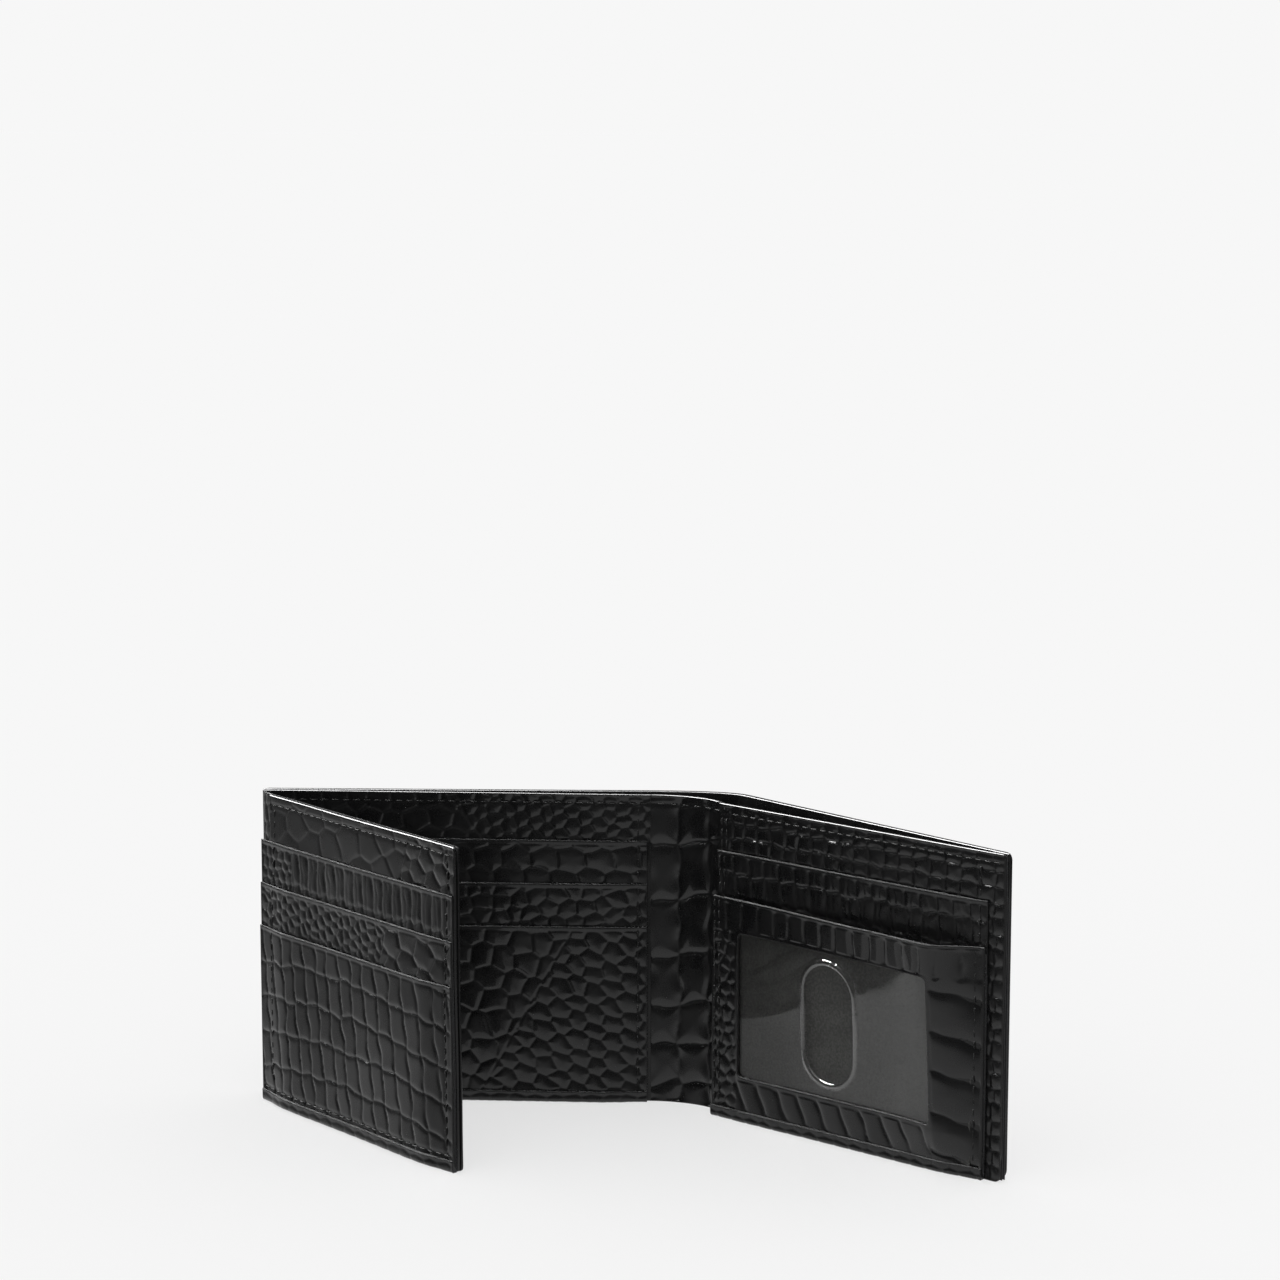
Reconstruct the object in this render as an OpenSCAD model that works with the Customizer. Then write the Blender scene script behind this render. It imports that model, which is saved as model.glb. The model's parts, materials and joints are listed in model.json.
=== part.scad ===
// Men's leather wallet: a billfold of two panels and a spine, with a third
// card leaf (the wing) hinged on its left edge. It stands open on its bottom edge.
//
// Every panel has its own frame: u runs along the panel from its hinge, v runs
// away from the reader, and z runs up. v = 0 is the front face of the leather
// that the card pockets are sewn to, so the pockets lie at negative v.

/* [Panels] */
// Height of every panel
panel_h = 89; // [80:1:100]
// Width of the left panel, from the outer edge to the spine
left_w = 110; // [100:1:120]
// Width of the spine strip between the two panels
spine_w = 20.7; // [20:0.1:26]
// Width of the right panel, from the spine to the outer edge
right_w = 96.4; // [94:0.1:110]
// Width of the wing, from its hinge strip to its free edge
wing_w = 86; // [80:0.5:92]
// Width of the leather strip that the wing hangs on
hinge_strip_w = 5.2; // [5:0.1:7]

/* [Open pose] */
// Angle of the spine from the left panel
spine_turn = 26; // [20:1:35]
// Angle of the right panel from the left panel
right_turn = 37; // [36:1:50]
// Angle between the wing and the left panel
wing_turn = 46; // [40:1:60]

/* [Materials] */
// Thickness of the leather inside the wallet
leather_t = 0.7; // [0.6:0.05:0.9]
// Thickness of the leather of the outer shell
shell_t = 1; // [0.8:0.1:1.2]
// Thickness of the leather turned in along the top of the shell
facing_t = 0.6; // [0.5:0.1:0.8]
// Thickness of the fabric linings
lining_t = 0.25; // [0.2:0.05:0.3]
// Thickness of the board inside each panel
stiffener_t = 0.4; // [0.3:0.1:0.6]
// Free space in an empty card slot
slot_gap = 0.2; // [0.2:0.05:0.3]

/* [Card pockets] */
// Height of bare leather above the first pocket
top_strip_h = 13.2; // [12:0.1:15]
// Step from one pocket edge down to the next
slot_pitch = 12.3; // [11:0.1:13]
// Height of the leather on a pocket that another pocket covers
strip_h = 20; // [16:1:24]
// Height of the leather hem turned up over the bottom of the pockets
hem_h = 3.4; // [2.5:0.1:5]
// Width of the bare leather beside the left pockets on the spine side
spine_margin = 1.5; // [1.5:0.5:3]
// Width of the bare leather beside the right pockets on the outer side
outer_margin = 5; // [3:0.5:6]

/* [Window pocket] */
// Distance from the spine to the window
window_u = 9.9; // [6:0.1:11]
// Width of the window
window_w = 66.5; // [60:0.5:70]
// Height of the lower edge of the window
window_z = 13; // [8:1:14]
// Height of the window opening
window_h = 41; // [36:1:44]
// Corner radius of the window
window_r = 1.5; // [1:0.5:4]
// Thickness of the clear film
film_t = 0.35; // [0.3:0.05:0.4]
// Width of the thumb hole
thumb_w = 16.6; // [12:0.2:20]
// Height of the thumb hole
thumb_h = 33; // [24:1:34]
// Width of the raised bead round the thumb hole
bead_w = 1.7; // [1:0.1:2.5]
// Height of the bead above the film
bead_t = 0.5; // [0.3:0.1:0.6]
// Thickness of the paper insert behind the film
card_t = 0.35; // [0.25:0.05:0.4]
// Width of the paper insert
card_w = 84; // [78:1:86]
// Height of the paper insert
card_h = 54; // [48:1:56]

/* [Bill compartment] */
// Clearance between shell and panel where they are sewn together
seam_gap = 0.15; // [0.1:0.05:0.3]
// How far the top of the shell stands off at the spine end of the left panel
bow_left = 3.1; // [1:0.1:4]
// How far the top of the shell stands off at the spine end of the right panel
bow_right = 10.5; // [6:0.5:12]
// Height of the leather turned in along the top of the shell
facing_h = 12; // [8:1:16]

/* [Stitching] */
// Length of one stitch
stitch_l = 2.3; // [1.5:0.1:2.5]
// Distance from one stitch to the next
stitch_pitch = 3; // [2.8:0.1:4]
// Width of the thread
thread_w = 0.5; // [0.3:0.1:0.7]
// Distance from an edge to its row of stitches
stitch_inset = 2.6; // [2:0.1:4]

/* [Hidden] */

BLACK_LEATHER = [0.09, 0.09, 0.1];
BLACK_FABRIC = [0.14, 0.14, 0.15];
GREY_BOARD = [0.35, 0.33, 0.3];
BLACK_THREAD = [0.05, 0.05, 0.05];
GREY_PAPER = [0.18, 0.18, 0.17];
CLEAR_FILM = [0.75, 0.77, 0.8, 0.35];

// Clearance beside a hinge axis, so that the leaves turn without touching.
hinge_gap = 0.4;
// Where the wing's hinge strip turns, beside the outer edge of the left panel.
wing_axis_u = -0.3;
wing_axis_v = -0.6;
// How much a stitch stands proud of the leather.
thread_t = 0.3;
// Clearance between two shell sheets that meet end to end.
sheet_gap = 0.3;
// How far the boards inside the panels stop short of the edges, clear of the seams.
board_inset = 4;
// How far the lining of a panel stops short of its top and bottom edges.
lining_inset = 0.5;
// How far the film reaches past the window on every side, under the leather.
film_seam = 4;
// Width of the bare hinge side of the left panel, which the folded wing lies over.
hinge_margin = 7;
// How far the wing's pockets reach past the fold, over the hinge strip.
wing_overhang = 2.5;
// How far the wing's pockets stop short of its free edge.
wing_edge = 0.6;
// How much of the spine side of the right panel is left bare.
right_u0 = 0.5;
// Centre of the thumb hole, as a share of the window's width and height.
thumb_across = 0.48;
thumb_up = 0.51;
// How far the shell's fold stands out behind the spine along the bottom.
spine_belly = 5;
// Free leather between a row of stitches and the hem or the edge that it ends at.
stitch_end = 1;
// Distance between the twin columns of stitches beside the spine.
twin_pitch = 1.6;
round_fn = 64;

tier = leather_t + slot_gap;
first_top = panel_h - top_strip_h;
second_top = first_top - slot_pitch;
third_top = second_top - slot_pitch;
facing_z = panel_h - facing_h;

// Edges and front faces of a set of three pockets, from the highest to the lowest.
POCKET_TOPS = [first_top, second_top, third_top];
POCKET_FACES = [-tier, -2 * tier, -3 * tier];

// Layers behind the front leather.
stiffener_back = leather_t + stiffener_t;
lined_back = stiffener_back + lining_t;
seam_v = lined_back + seam_gap;

// Layers of the wing, counted forward from its back face.
wing_board_v = -leather_t;
wing_liner_v = wing_board_v - stiffener_t;
wing_front_v = wing_liner_v - leather_t;

// Layers of the window pocket, counted forward from the right card pocket.
backing_v = -tier - slot_gap;
card_v = backing_v - lining_t - slot_gap;
film_v = card_v - card_t - slot_gap;
frame_v = film_v - film_t;

// ---------------------------------------------------------------- frames

module on_left() {
    translate([-left_w / 2, -leather_t / 2, 0]) children();
}

module on_spine() {
    on_left() translate([left_w, 0, 0]) rotate([0, 0, -spine_turn]) children();
}

module on_right() {
    on_spine() translate([spine_w, 0, 0]) rotate([0, 0, spine_turn - right_turn]) children();
}

module on_hinge() {
    on_left() translate([wing_axis_u, wing_axis_v, 0]) rotate([0, 0, -wing_turn]) children();
}

module on_wing() {
    on_hinge() translate([hinge_strip_w, 0, 0]) children();
}

// ---------------------------------------------------------------- shapes

// A flat layer from u0 to u1 and z0 to z1. Its back face is at v and its
// thickness runs forward.
module ply(u0, u1, z0, z1, v, thickness) {
    translate([u0, v - thickness, z0]) cube([u1 - u0, thickness, z1 - z0]);
}

// A flat outline in u and z, made into a layer with its back face at v.
module cut_ply(v, thickness) {
    translate([0, v, 0]) rotate([90, 0, 0]) linear_extrude(thickness) children();
}

module rounded_rect(low, size, radius) {
    translate([low.x + radius, low.y]) square([size.x - 2 * radius, size.y]);
    translate([low.x, low.y + radius]) square([size.x, size.y - 2 * radius]);
    for (x = [low.x + radius, low.x + size.x - radius])
        for (y = [low.y + radius, low.y + size.y - radius])
            translate([x, y]) circle(r = radius, $fn = round_fn);
}

// An upright slot with round ends.
module upright_slot(width, height) {
    straight = height - width;
    square([width, straight], center = true);
    for (end = [-1, 1])
        translate([0, end * straight / 2]) circle(d = width, $fn = round_fn);
}

// A row of stitches from one [u, z] point to another, lying on the face at v.
// side is -1 for a face that looks forward and 1 for one that looks back.
module stitch_row(from, to, v, side = -1) {
    run = to - from;
    count = floor(norm(run) / stitch_pitch);
    lean = atan2(run.y, run.x);
    for (i = [0:count - 1]) {
        middle = from + run * (i + 0.5) / count;
        translate([middle.x, v + side * thread_t / 2, middle.y])
            rotate([0, -lean, 0])
                cube([stitch_l, thread_t, thread_w], center = true);
    }
}

// A column of stitches at u that steps out from the bare leather at v = 0 onto each
// pocket. tops holds the heights of the pockets' edges and faces their front faces,
// from the highest pocket to the lowest, and foot is where the column ends.
module stitch_column(u, tops, faces, foot) {
    clear = 0.5;
    stitch_row([u, tops[0] + clear], [u, panel_h - stitch_inset - 2 * clear], 0);
    for (i = [0:len(tops) - 1]) {
        low = i + 1 < len(tops) ? tops[i + 1] + clear : foot;
        stitch_row([u, low], [u, tops[i] - clear], faces[i]);
    }
}

// The hem is a leather strip turned up under the pockets and over their front.
// front_v is the front face of the outermost pocket.
module bottom_hem(u0, u1, front_v) {
    ply(u0, u1, 0, leather_t, 0, -front_v + leather_t);
    ply(u0, u1, 0, hem_h, front_v, leather_t);
}

// Leather of a pocket that another one covers, with its back face at v.
module pocket_strip(u0, u1, top, v) {
    ply(u0, u1, top - strip_h, top, v, leather_t);
}

// Fabric that carries a pocket strip down to the hem.
module slot_lining(u0, u1, top, v) {
    ply(u0, u1, leather_t, top - strip_h, v, lining_t);
}

// ------------------------------------------------- shape of the outer shell

// The shell hugs the panels along the bottom and stands off along the top. Two
// curves seen from above, one at the bottom and one at the top, are joined by
// straight lines. All points are in the left panel's frame.

function turned(p, a) = [p.x * cos(a) - p.y * sin(a), p.x * sin(a) + p.y * cos(a)];
function spine_at(u, v) = [left_w, 0] + turned([u, v], -spine_turn);
function right_at(u, v) = spine_at(spine_w, 0) + turned([u, v], -right_turn);
function between(a, b, t) = a + (b - a) * t;
function curve(a, c, b, t) = between(between(a, c, t), between(c, b, t), t);

// Where the lines of the left and the right shell would meet at the top.
left_slope = atan(bow_left / left_w);
right_slope = atan(bow_right / right_w);
left_top_end = [left_w, seam_v + bow_left];
right_top_start = right_at(0, seam_v + bow_right);
right_run = turned([1, 0], -right_turn - right_slope);
left_run = turned([1, 0], left_slope);
across = right_top_start - left_top_end;
meet = (across.x * right_run.y - across.y * right_run.x)
    / (left_run.x * right_run.y - left_run.y * right_run.x);
bend_corner = left_top_end + left_run * meet;

spine_steps = 8;
spine_ts = [for (i = [0:spine_steps]) i / spine_steps];
bottom_corner = spine_at(spine_w / 2, seam_v + spine_belly);

bottom_path = concat(
    [[0, seam_v], [left_w - sheet_gap, seam_v]],
    [for (t = spine_ts) curve([left_w, seam_v], bottom_corner, right_at(0, seam_v), t)],
    [right_at(sheet_gap, seam_v), right_at(right_w, seam_v)]
);
top_path = concat(
    [[0, seam_v], left_top_end - left_run * sheet_gap],
    [for (t = spine_ts) curve(left_top_end, bend_corner, right_top_start, t)],
    [right_top_start + right_run * sheet_gap, right_at(right_w, seam_v)]
);
LEFT_SPAN = [0, 1];
SPINE_SPAN = [2, 2 + spine_steps];
RIGHT_SPAN = [3 + spine_steps, 4 + spine_steps];

function along(path, i) = path[min(i + 1, len(path) - 1)] - path[max(i - 1, 0)];
function normal_at(path, i) = turned(along(path, i) / norm(along(path, i)), 90);
function offset_at(path, i, distance) = path[i] + normal_at(path, i) * distance;

function shell_point(i, z, distance) =
    let (p = between(
        offset_at(bottom_path, i, distance),
        offset_at(top_path, i, distance),
        z / panel_h
    ))
    [p.x, p.y, z];

function two_triangles(a, b, c, d) = [[a, b, c], [a, c, d]];

// One sheet of the shell, between two distances behind its inner surface.
// rows are the heights of its corners.
module shell_sheet(span, near, far, rows) {
    columns = span[1] - span[0] + 1;
    levels = len(rows);
    side = columns * levels;
    points = [
        for (distance = [near, far])
            for (z = rows)
                for (i = [span[0]:span[1]])
                    shell_point(i, z, distance)
    ];
    cells = [for (j = [0:levels - 2]) for (i = [0:columns - 2]) j * columns + i];
    faces = concat(
        [for (a = cells) each two_triangles(a, a + columns, a + columns + 1, a + 1)],
        [for (a = cells)
            each two_triangles(side + a, side + a + 1, side + a + columns + 1, side + a + columns)],
        [for (i = [0:columns - 2]) each two_triangles(i, i + 1, side + i + 1, side + i)],
        [for (a = [side - columns:side - 2]) each two_triangles(a + 1, a, side + a, side + a + 1)],
        [for (a = [0:columns:side - columns - 1])
            each two_triangles(a, side + a, side + a + columns, a + columns)],
        [for (a = [columns - 1:columns:side - 2])
            each two_triangles(a + columns, side + a + columns, side + a, a)]
    );
    on_left() polyhedron(points, faces);
}

module shell_leather(span) {
    color(BLACK_LEATHER) shell_sheet(span, facing_t, facing_t + shell_t, [0, facing_z, panel_h]);
}

module shell_facing(span) {
    color(BLACK_LEATHER) shell_sheet(span, 0, facing_t, [facing_z, panel_h]);
}

module shell_lining(span) {
    color(BLACK_FABRIC) shell_sheet(span, facing_t - lining_t, facing_t, [0, facing_z]);
}

// ---------------------------------------------------------------- shell

module shell_left() shell_leather(LEFT_SPAN);
module shell_spine() shell_leather(SPINE_SPAN);
module shell_right() shell_leather(RIGHT_SPAN);
module shell_facing_left() shell_facing(LEFT_SPAN);
module shell_facing_spine() shell_facing(SPINE_SPAN);
module shell_facing_right() shell_facing(RIGHT_SPAN);
module shell_lining_left() shell_lining(LEFT_SPAN);
module shell_lining_spine() shell_lining(SPINE_SPAN);
module shell_lining_right() shell_lining(RIGHT_SPAN);

// Seams on the back of the shell, up the outer edge and along the bottom. Each
// lies where the bowed shell stands off most under it.
function bow_under(bow, share, z) = bow * share * z / panel_h;
shell_back_v = seam_v + facing_t + shell_t;

module shell_stitching_left() {
    edge = stitch_inset;
    top_z = panel_h - stitch_inset;
    edge_bow = bow_under(bow_left, edge / left_w, top_z);
    foot_bow = bow_under(bow_left, 1, stitch_inset);
    color(BLACK_THREAD) on_left() {
        stitch_row([edge, 2 * edge], [edge, top_z], shell_back_v + edge_bow, 1);
        stitch_row([2 * edge, edge], [left_w - 2 * edge, edge], shell_back_v + foot_bow, 1);
    }
}

module shell_stitching_right() {
    edge = right_w - stitch_inset;
    top_z = panel_h - stitch_inset;
    edge_bow = bow_under(bow_right, stitch_inset / right_w, top_z);
    foot_bow = bow_under(bow_right, 1, stitch_inset);
    color(BLACK_THREAD) on_right() {
        stitch_row([edge, 2 * stitch_inset], [edge, top_z], shell_back_v + edge_bow, 1);
        stitch_row([2 * stitch_inset, stitch_inset], [edge - stitch_inset, stitch_inset],
            shell_back_v + foot_bow, 1);
    }
}

// ------------------------------------------------------- panels and spine

module liner_left() {
    color(BLACK_LEATHER) on_left() ply(0, left_w - hinge_gap, 0, panel_h, leather_t, leather_t);
}

module liner_spine() {
    color(BLACK_LEATHER) on_spine()
        ply(hinge_gap, spine_w - hinge_gap, 0, panel_h, leather_t, leather_t);
}

module liner_right() {
    color(BLACK_LEATHER) on_right() ply(hinge_gap, right_w, 0, panel_h, leather_t, leather_t);
}

module stiffener_left() {
    color(GREY_BOARD) on_left()
        ply(board_inset, left_w - board_inset, board_inset, panel_h - board_inset,
            stiffener_back, stiffener_t);
}

module stiffener_right() {
    color(GREY_BOARD) on_right()
        ply(board_inset, right_w - board_inset, board_inset, panel_h - board_inset,
            stiffener_back, stiffener_t);
}

module bill_lining_left() {
    color(BLACK_FABRIC) on_left()
        ply(0, left_w - hinge_gap, lining_inset, panel_h - lining_inset, lined_back, lining_t);
}

module bill_lining_spine() {
    color(BLACK_FABRIC) on_spine()
        ply(hinge_gap, spine_w - hinge_gap, lining_inset, panel_h - lining_inset,
            leather_t + lining_t, lining_t);
}

module bill_lining_right() {
    color(BLACK_FABRIC) on_right()
        ply(hinge_gap, right_w, lining_inset, panel_h - lining_inset, lined_back, lining_t);
}

// ------------------------------------------------------- left card pockets

left_u0 = hinge_margin;
left_u1 = left_w - spine_margin;

module left_slot_lining_upper() {
    color(BLACK_FABRIC) on_left() slot_lining(left_u0, left_u1, first_top, -slot_gap);
}

module left_slot_lining_middle() {
    color(BLACK_FABRIC) on_left() slot_lining(left_u0, left_u1, second_top, -slot_gap - tier);
}

module left_pocket_upper() {
    color(BLACK_LEATHER) on_left() pocket_strip(left_u0, left_u1, first_top, -slot_gap);
}

module left_pocket_middle() {
    color(BLACK_LEATHER) on_left() pocket_strip(left_u0, left_u1, second_top, -slot_gap - tier);
}

module left_pocket_front() {
    color(BLACK_LEATHER) on_left()
        ply(left_u0, left_u1, leather_t, third_top, -slot_gap - 2 * tier, leather_t);
}

module left_bottom_hem() {
    color(BLACK_LEATHER) on_left() bottom_hem(left_u0, left_u1, -3 * tier);
}

// One column beside the spine and a row along the top.
module left_stitching() {
    top_z = panel_h - stitch_inset;
    color(BLACK_THREAD) on_left() {
        stitch_column(left_u1 - stitch_inset, POCKET_TOPS, POCKET_FACES, hem_h + stitch_end);
        stitch_row([left_u0, top_z], [left_w - stitch_end, top_z], 0);
    }
}

module spine_stitching() {
    top_z = panel_h - stitch_inset;
    color(BLACK_THREAD) on_spine()
        stitch_row([stitch_end, top_z], [spine_w - stitch_end, top_z], 0);
}

// ---------------------------------------------- right pockets and window

right_u1 = right_w - outer_margin;
thumb_u = window_u + window_w * thumb_across;
thumb_z = window_z + window_h * thumb_up;

module right_card_pocket() {
    color(BLACK_LEATHER) on_right() pocket_strip(right_u0, right_u1, first_top, -slot_gap);
}

module right_slot_lining() {
    color(BLACK_FABRIC) on_right() slot_lining(right_u0, right_u1, first_top, -slot_gap);
}

// The backing stops just below the mouth of the pocket, so that it doesn't show.
module window_backing() {
    below_mouth = 2;
    color(BLACK_FABRIC) on_right()
        ply(right_u0, right_u1, leather_t, second_top - below_mouth, backing_v, lining_t);
}

// The film is sewn in behind the leather. A bead is moulded round its thumb hole.
module window_film() {
    low = [window_u - film_seam, window_z - film_seam];
    size = [window_w + 2 * film_seam, window_h + 2 * film_seam];
    past = 1;
    color(CLEAR_FILM) on_right() {
        difference() {
            union() {
                cut_ply(film_v, film_t) rounded_rect(low, size, window_r);
                cut_ply(film_v, film_t + bead_t)
                    translate([thumb_u, thumb_z])
                        upright_slot(thumb_w + 2 * bead_w, thumb_h + 2 * bead_w);
            }
            cut_ply(film_v + past, film_t + bead_t + 2 * past)
                translate([thumb_u, thumb_z]) upright_slot(thumb_w, thumb_h);
        }
    }
}

module window_frame() {
    color(BLACK_LEATHER) on_right() cut_ply(frame_v, leather_t) difference() {
        translate([right_u0, leather_t])
            square([right_u1 - right_u0, second_top - leather_t]);
        rounded_rect([window_u, window_z], [window_w, window_h], window_r);
    }
}

module right_bottom_hem() {
    color(BLACK_LEATHER) on_right() bottom_hem(right_u0, right_u1, frame_v - leather_t);
}

// Twin columns beside the spine, one column at the outer edge and a top row.
module right_stitching() {
    top_z = panel_h - stitch_inset;
    inner = right_u0 + stitch_end;
    outer = right_u1 - stitch_inset;
    color(BLACK_THREAD) on_right() {
        for (u = [inner, inner + twin_pitch, outer])
            stitch_column(u, [first_top, second_top], [-tier, frame_v - leather_t],
                hem_h + stitch_end);
        stitch_row([inner + 2 * twin_pitch, top_z], [right_w - stitch_end, top_z], 0);
    }
}

// The card stands on the hem and slides up out of the pocket.
module insert_card() {
    middle = (right_u0 + right_u1) / 2;
    foot = leather_t + slot_gap;
    color(GREY_PAPER) on_right()
        ply(middle - card_w / 2, middle + card_w / 2, foot, foot + card_h, card_v, card_t);
}

// ---------------------------------------------------------------- wing

// The back, board and liner begin beyond the fold. The pockets reach back over it.
wing_fold_u = 1;
wing_u0 = -wing_overhang;
wing_u1 = wing_w - wing_edge;

module wing_hinge_strip() {
    color(BLACK_LEATHER) on_hinge()
        ply(hinge_gap, hinge_strip_w - hinge_gap, 0, panel_h, 0, leather_t);
}

module wing_back() {
    color(BLACK_LEATHER) on_wing() ply(wing_fold_u, wing_w, 0, panel_h, 0, leather_t);
}

module wing_stiffener() {
    color(GREY_BOARD) on_wing()
        ply(wing_fold_u + board_inset, wing_w - board_inset, board_inset, panel_h - board_inset,
            wing_board_v, stiffener_t);
}

module wing_liner() {
    color(BLACK_LEATHER) on_wing()
        ply(wing_fold_u, wing_w, 0, panel_h, wing_liner_v, leather_t);
}

module wing_slot_lining_upper() {
    color(BLACK_FABRIC) on_wing()
        slot_lining(wing_u0, wing_u1, first_top, wing_front_v - slot_gap);
}

module wing_slot_lining_middle() {
    color(BLACK_FABRIC) on_wing()
        slot_lining(wing_u0, wing_u1, second_top, wing_front_v - slot_gap - tier);
}

module wing_pocket_upper() {
    color(BLACK_LEATHER) on_wing()
        pocket_strip(wing_u0, wing_u1, first_top, wing_front_v - slot_gap);
}

module wing_pocket_middle() {
    color(BLACK_LEATHER) on_wing()
        pocket_strip(wing_u0, wing_u1, second_top, wing_front_v - slot_gap - tier);
}

module wing_pocket_front() {
    color(BLACK_LEATHER) on_wing()
        ply(wing_u0, wing_u1, leather_t, third_top, wing_front_v - slot_gap - 2 * tier, leather_t);
}

module wing_bottom_hem() {
    color(BLACK_LEATHER) on_wing() translate([0, wing_front_v, 0])
        bottom_hem(wing_u0, wing_u1, -3 * tier);
}

// A column at each side, a row along the top and one just above the hem.
module wing_stitching() {
    foot_z = hem_h + stitch_end;
    top_z = panel_h - stitch_inset;
    color(BLACK_THREAD) on_wing() translate([0, wing_front_v, 0]) {
        for (u = [wing_fold_u + stitch_inset, wing_u1 - stitch_inset])
            stitch_column(u, POCKET_TOPS, POCKET_FACES, foot_z + 2 * stitch_end);
        stitch_row([wing_fold_u + stitch_end, top_z], [wing_u1 - stitch_end, top_z], 0);
        stitch_row([wing_u0 + stitch_end, foot_z], [wing_u1 - stitch_end, foot_z],
            POCKET_FACES[2]);
    }
}

// ---------------------------------------------------------------- assembly

shell_left();
shell_spine();
shell_right();
shell_facing_left();
shell_facing_spine();
shell_facing_right();
shell_lining_left();
shell_lining_spine();
shell_lining_right();
shell_stitching_left();
shell_stitching_right();
liner_left();
liner_spine();
liner_right();
stiffener_left();
stiffener_right();
bill_lining_left();
bill_lining_spine();
bill_lining_right();
left_pocket_upper();
left_pocket_middle();
left_pocket_front();
left_slot_lining_upper();
left_slot_lining_middle();
left_bottom_hem();
left_stitching();
spine_stitching();
right_card_pocket();
right_slot_lining();
window_backing();
window_film();
window_frame();
right_bottom_hem();
right_stitching();
insert_card();
wing_hinge_strip();
wing_back();
wing_stiffener();
wing_liner();
wing_pocket_upper();
wing_pocket_middle();
wing_pocket_front();
wing_slot_lining_upper();
wing_slot_lining_middle();
wing_bottom_hem();
wing_stitching();
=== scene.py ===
"""Looks of an open billfold in glossy scaled leather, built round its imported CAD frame.

Lengths in this file are in millimetres and become metres where a mesh is made. Each
panel has its own frame: u runs along it, v runs away from the reader and w runs up.
"""

import json
import math
from collections.abc import Callable
from dataclasses import dataclass

import bpy
import numpy as np
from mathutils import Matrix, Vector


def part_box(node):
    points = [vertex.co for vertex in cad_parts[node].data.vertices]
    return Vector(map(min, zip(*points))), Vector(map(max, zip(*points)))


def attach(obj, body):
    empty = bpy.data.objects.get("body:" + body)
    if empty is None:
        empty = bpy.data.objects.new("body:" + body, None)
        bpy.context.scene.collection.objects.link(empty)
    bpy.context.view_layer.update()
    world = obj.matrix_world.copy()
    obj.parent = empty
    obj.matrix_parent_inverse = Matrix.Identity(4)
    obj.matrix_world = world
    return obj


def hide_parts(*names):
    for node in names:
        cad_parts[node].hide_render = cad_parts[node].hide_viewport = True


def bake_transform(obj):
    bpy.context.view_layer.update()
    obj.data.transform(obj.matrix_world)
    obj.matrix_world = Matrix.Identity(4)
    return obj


MM = 0.001

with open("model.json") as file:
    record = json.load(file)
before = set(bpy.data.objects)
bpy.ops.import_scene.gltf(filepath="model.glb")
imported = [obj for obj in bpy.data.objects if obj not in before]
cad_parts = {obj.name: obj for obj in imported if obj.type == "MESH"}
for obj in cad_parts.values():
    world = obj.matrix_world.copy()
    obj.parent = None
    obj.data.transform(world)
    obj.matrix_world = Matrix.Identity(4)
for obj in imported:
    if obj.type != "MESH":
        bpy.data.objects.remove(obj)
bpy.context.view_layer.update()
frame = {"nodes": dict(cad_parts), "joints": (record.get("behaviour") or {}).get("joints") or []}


# ---------------------------------------------------------------- panel frames


def corners(node):
    """Corner points of a CAD node, in mm."""
    return np.array([v.co[:] for v in frame["nodes"][node].data.vertices]) / MM


def heading(node):
    """Direction in which an upright flat CAD sheet runs, seen from above."""
    plan = np.unique(np.round(corners(node)[:, :2], 3), axis=0)
    along = np.linalg.svd(plan - plan.mean(axis=0))[2][0]
    return along * np.sign(along[0])


class Panel:
    """An upright plane with u along it, v away from the reader and w up."""

    def __init__(self, origin, along):
        self.origin = np.array(origin[:2], float)
        self.along = np.array(along)
        self.away = np.array([-along[1], along[0]])

    def plan(self, u, v):
        u, v = np.broadcast_arrays(u, v)
        return self.origin + u[..., None] * self.along + v[..., None] * self.away

    def at(self, u, v, w):
        u, v, w = np.broadcast_arrays(u, v, w)
        return np.concatenate([self.plan(u, v), w[..., None]], axis=-1)

    def local(self, points):
        plan = points[..., :2] - self.origin
        return np.stack([plan @ self.along, plan @ self.away, points[..., 2]], axis=-1)

    def span(self, node):
        """Lowest and highest (u, v, w) of a CAD node."""
        points = self.local(corners(node))
        return points.min(axis=0), points.max(axis=0)


def joint_at(name):
    joint = next(j for j in frame["joints"] if j["name"] == name)
    return np.array(joint["pos_m"]) / MM


left = Panel(np.array(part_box("liner_left")[0]) / MM, heading("liner_left"))
spine = Panel(joint_at("spine_fold"), heading("liner_spine"))
right = Panel(joint_at("right_fold"), heading("liner_right"))
wing = Panel(joint_at("wing_swing"), heading("wing_back"))

PANEL_H = left.span("liner_left")[1][2]
LEFT_W = left.local(joint_at("spine_fold"))[0]
SPINE_W = spine.local(joint_at("right_fold"))[0]
RIGHT_W = right.span("liner_right")[1][0]
STRIP_W = wing.local(joint_at("wing_fold"))[0]
WING_W = wing.span("wing_back")[1][0]
HEM_H = left.span("left_bottom_hem")[1][2]
SEAM_IN = 2.6
TOP_ROW = PANEL_H - SEAM_IN
UNDERLAP = 1.5


# ---------------------------------------------------------------- grids and skins

FINE = 0.36
COARSE = 5.0
EDGE_STEPS = (0, 0.05, 0.14, 0.28, 0.46)
EDGE_ROUND = 0.3
RELIEF_TOP = 0.13
RELIEF_DEPTH = 0.6
RAW_EDGE = 3.0
RAW_WIDTH = 0.3


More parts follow.
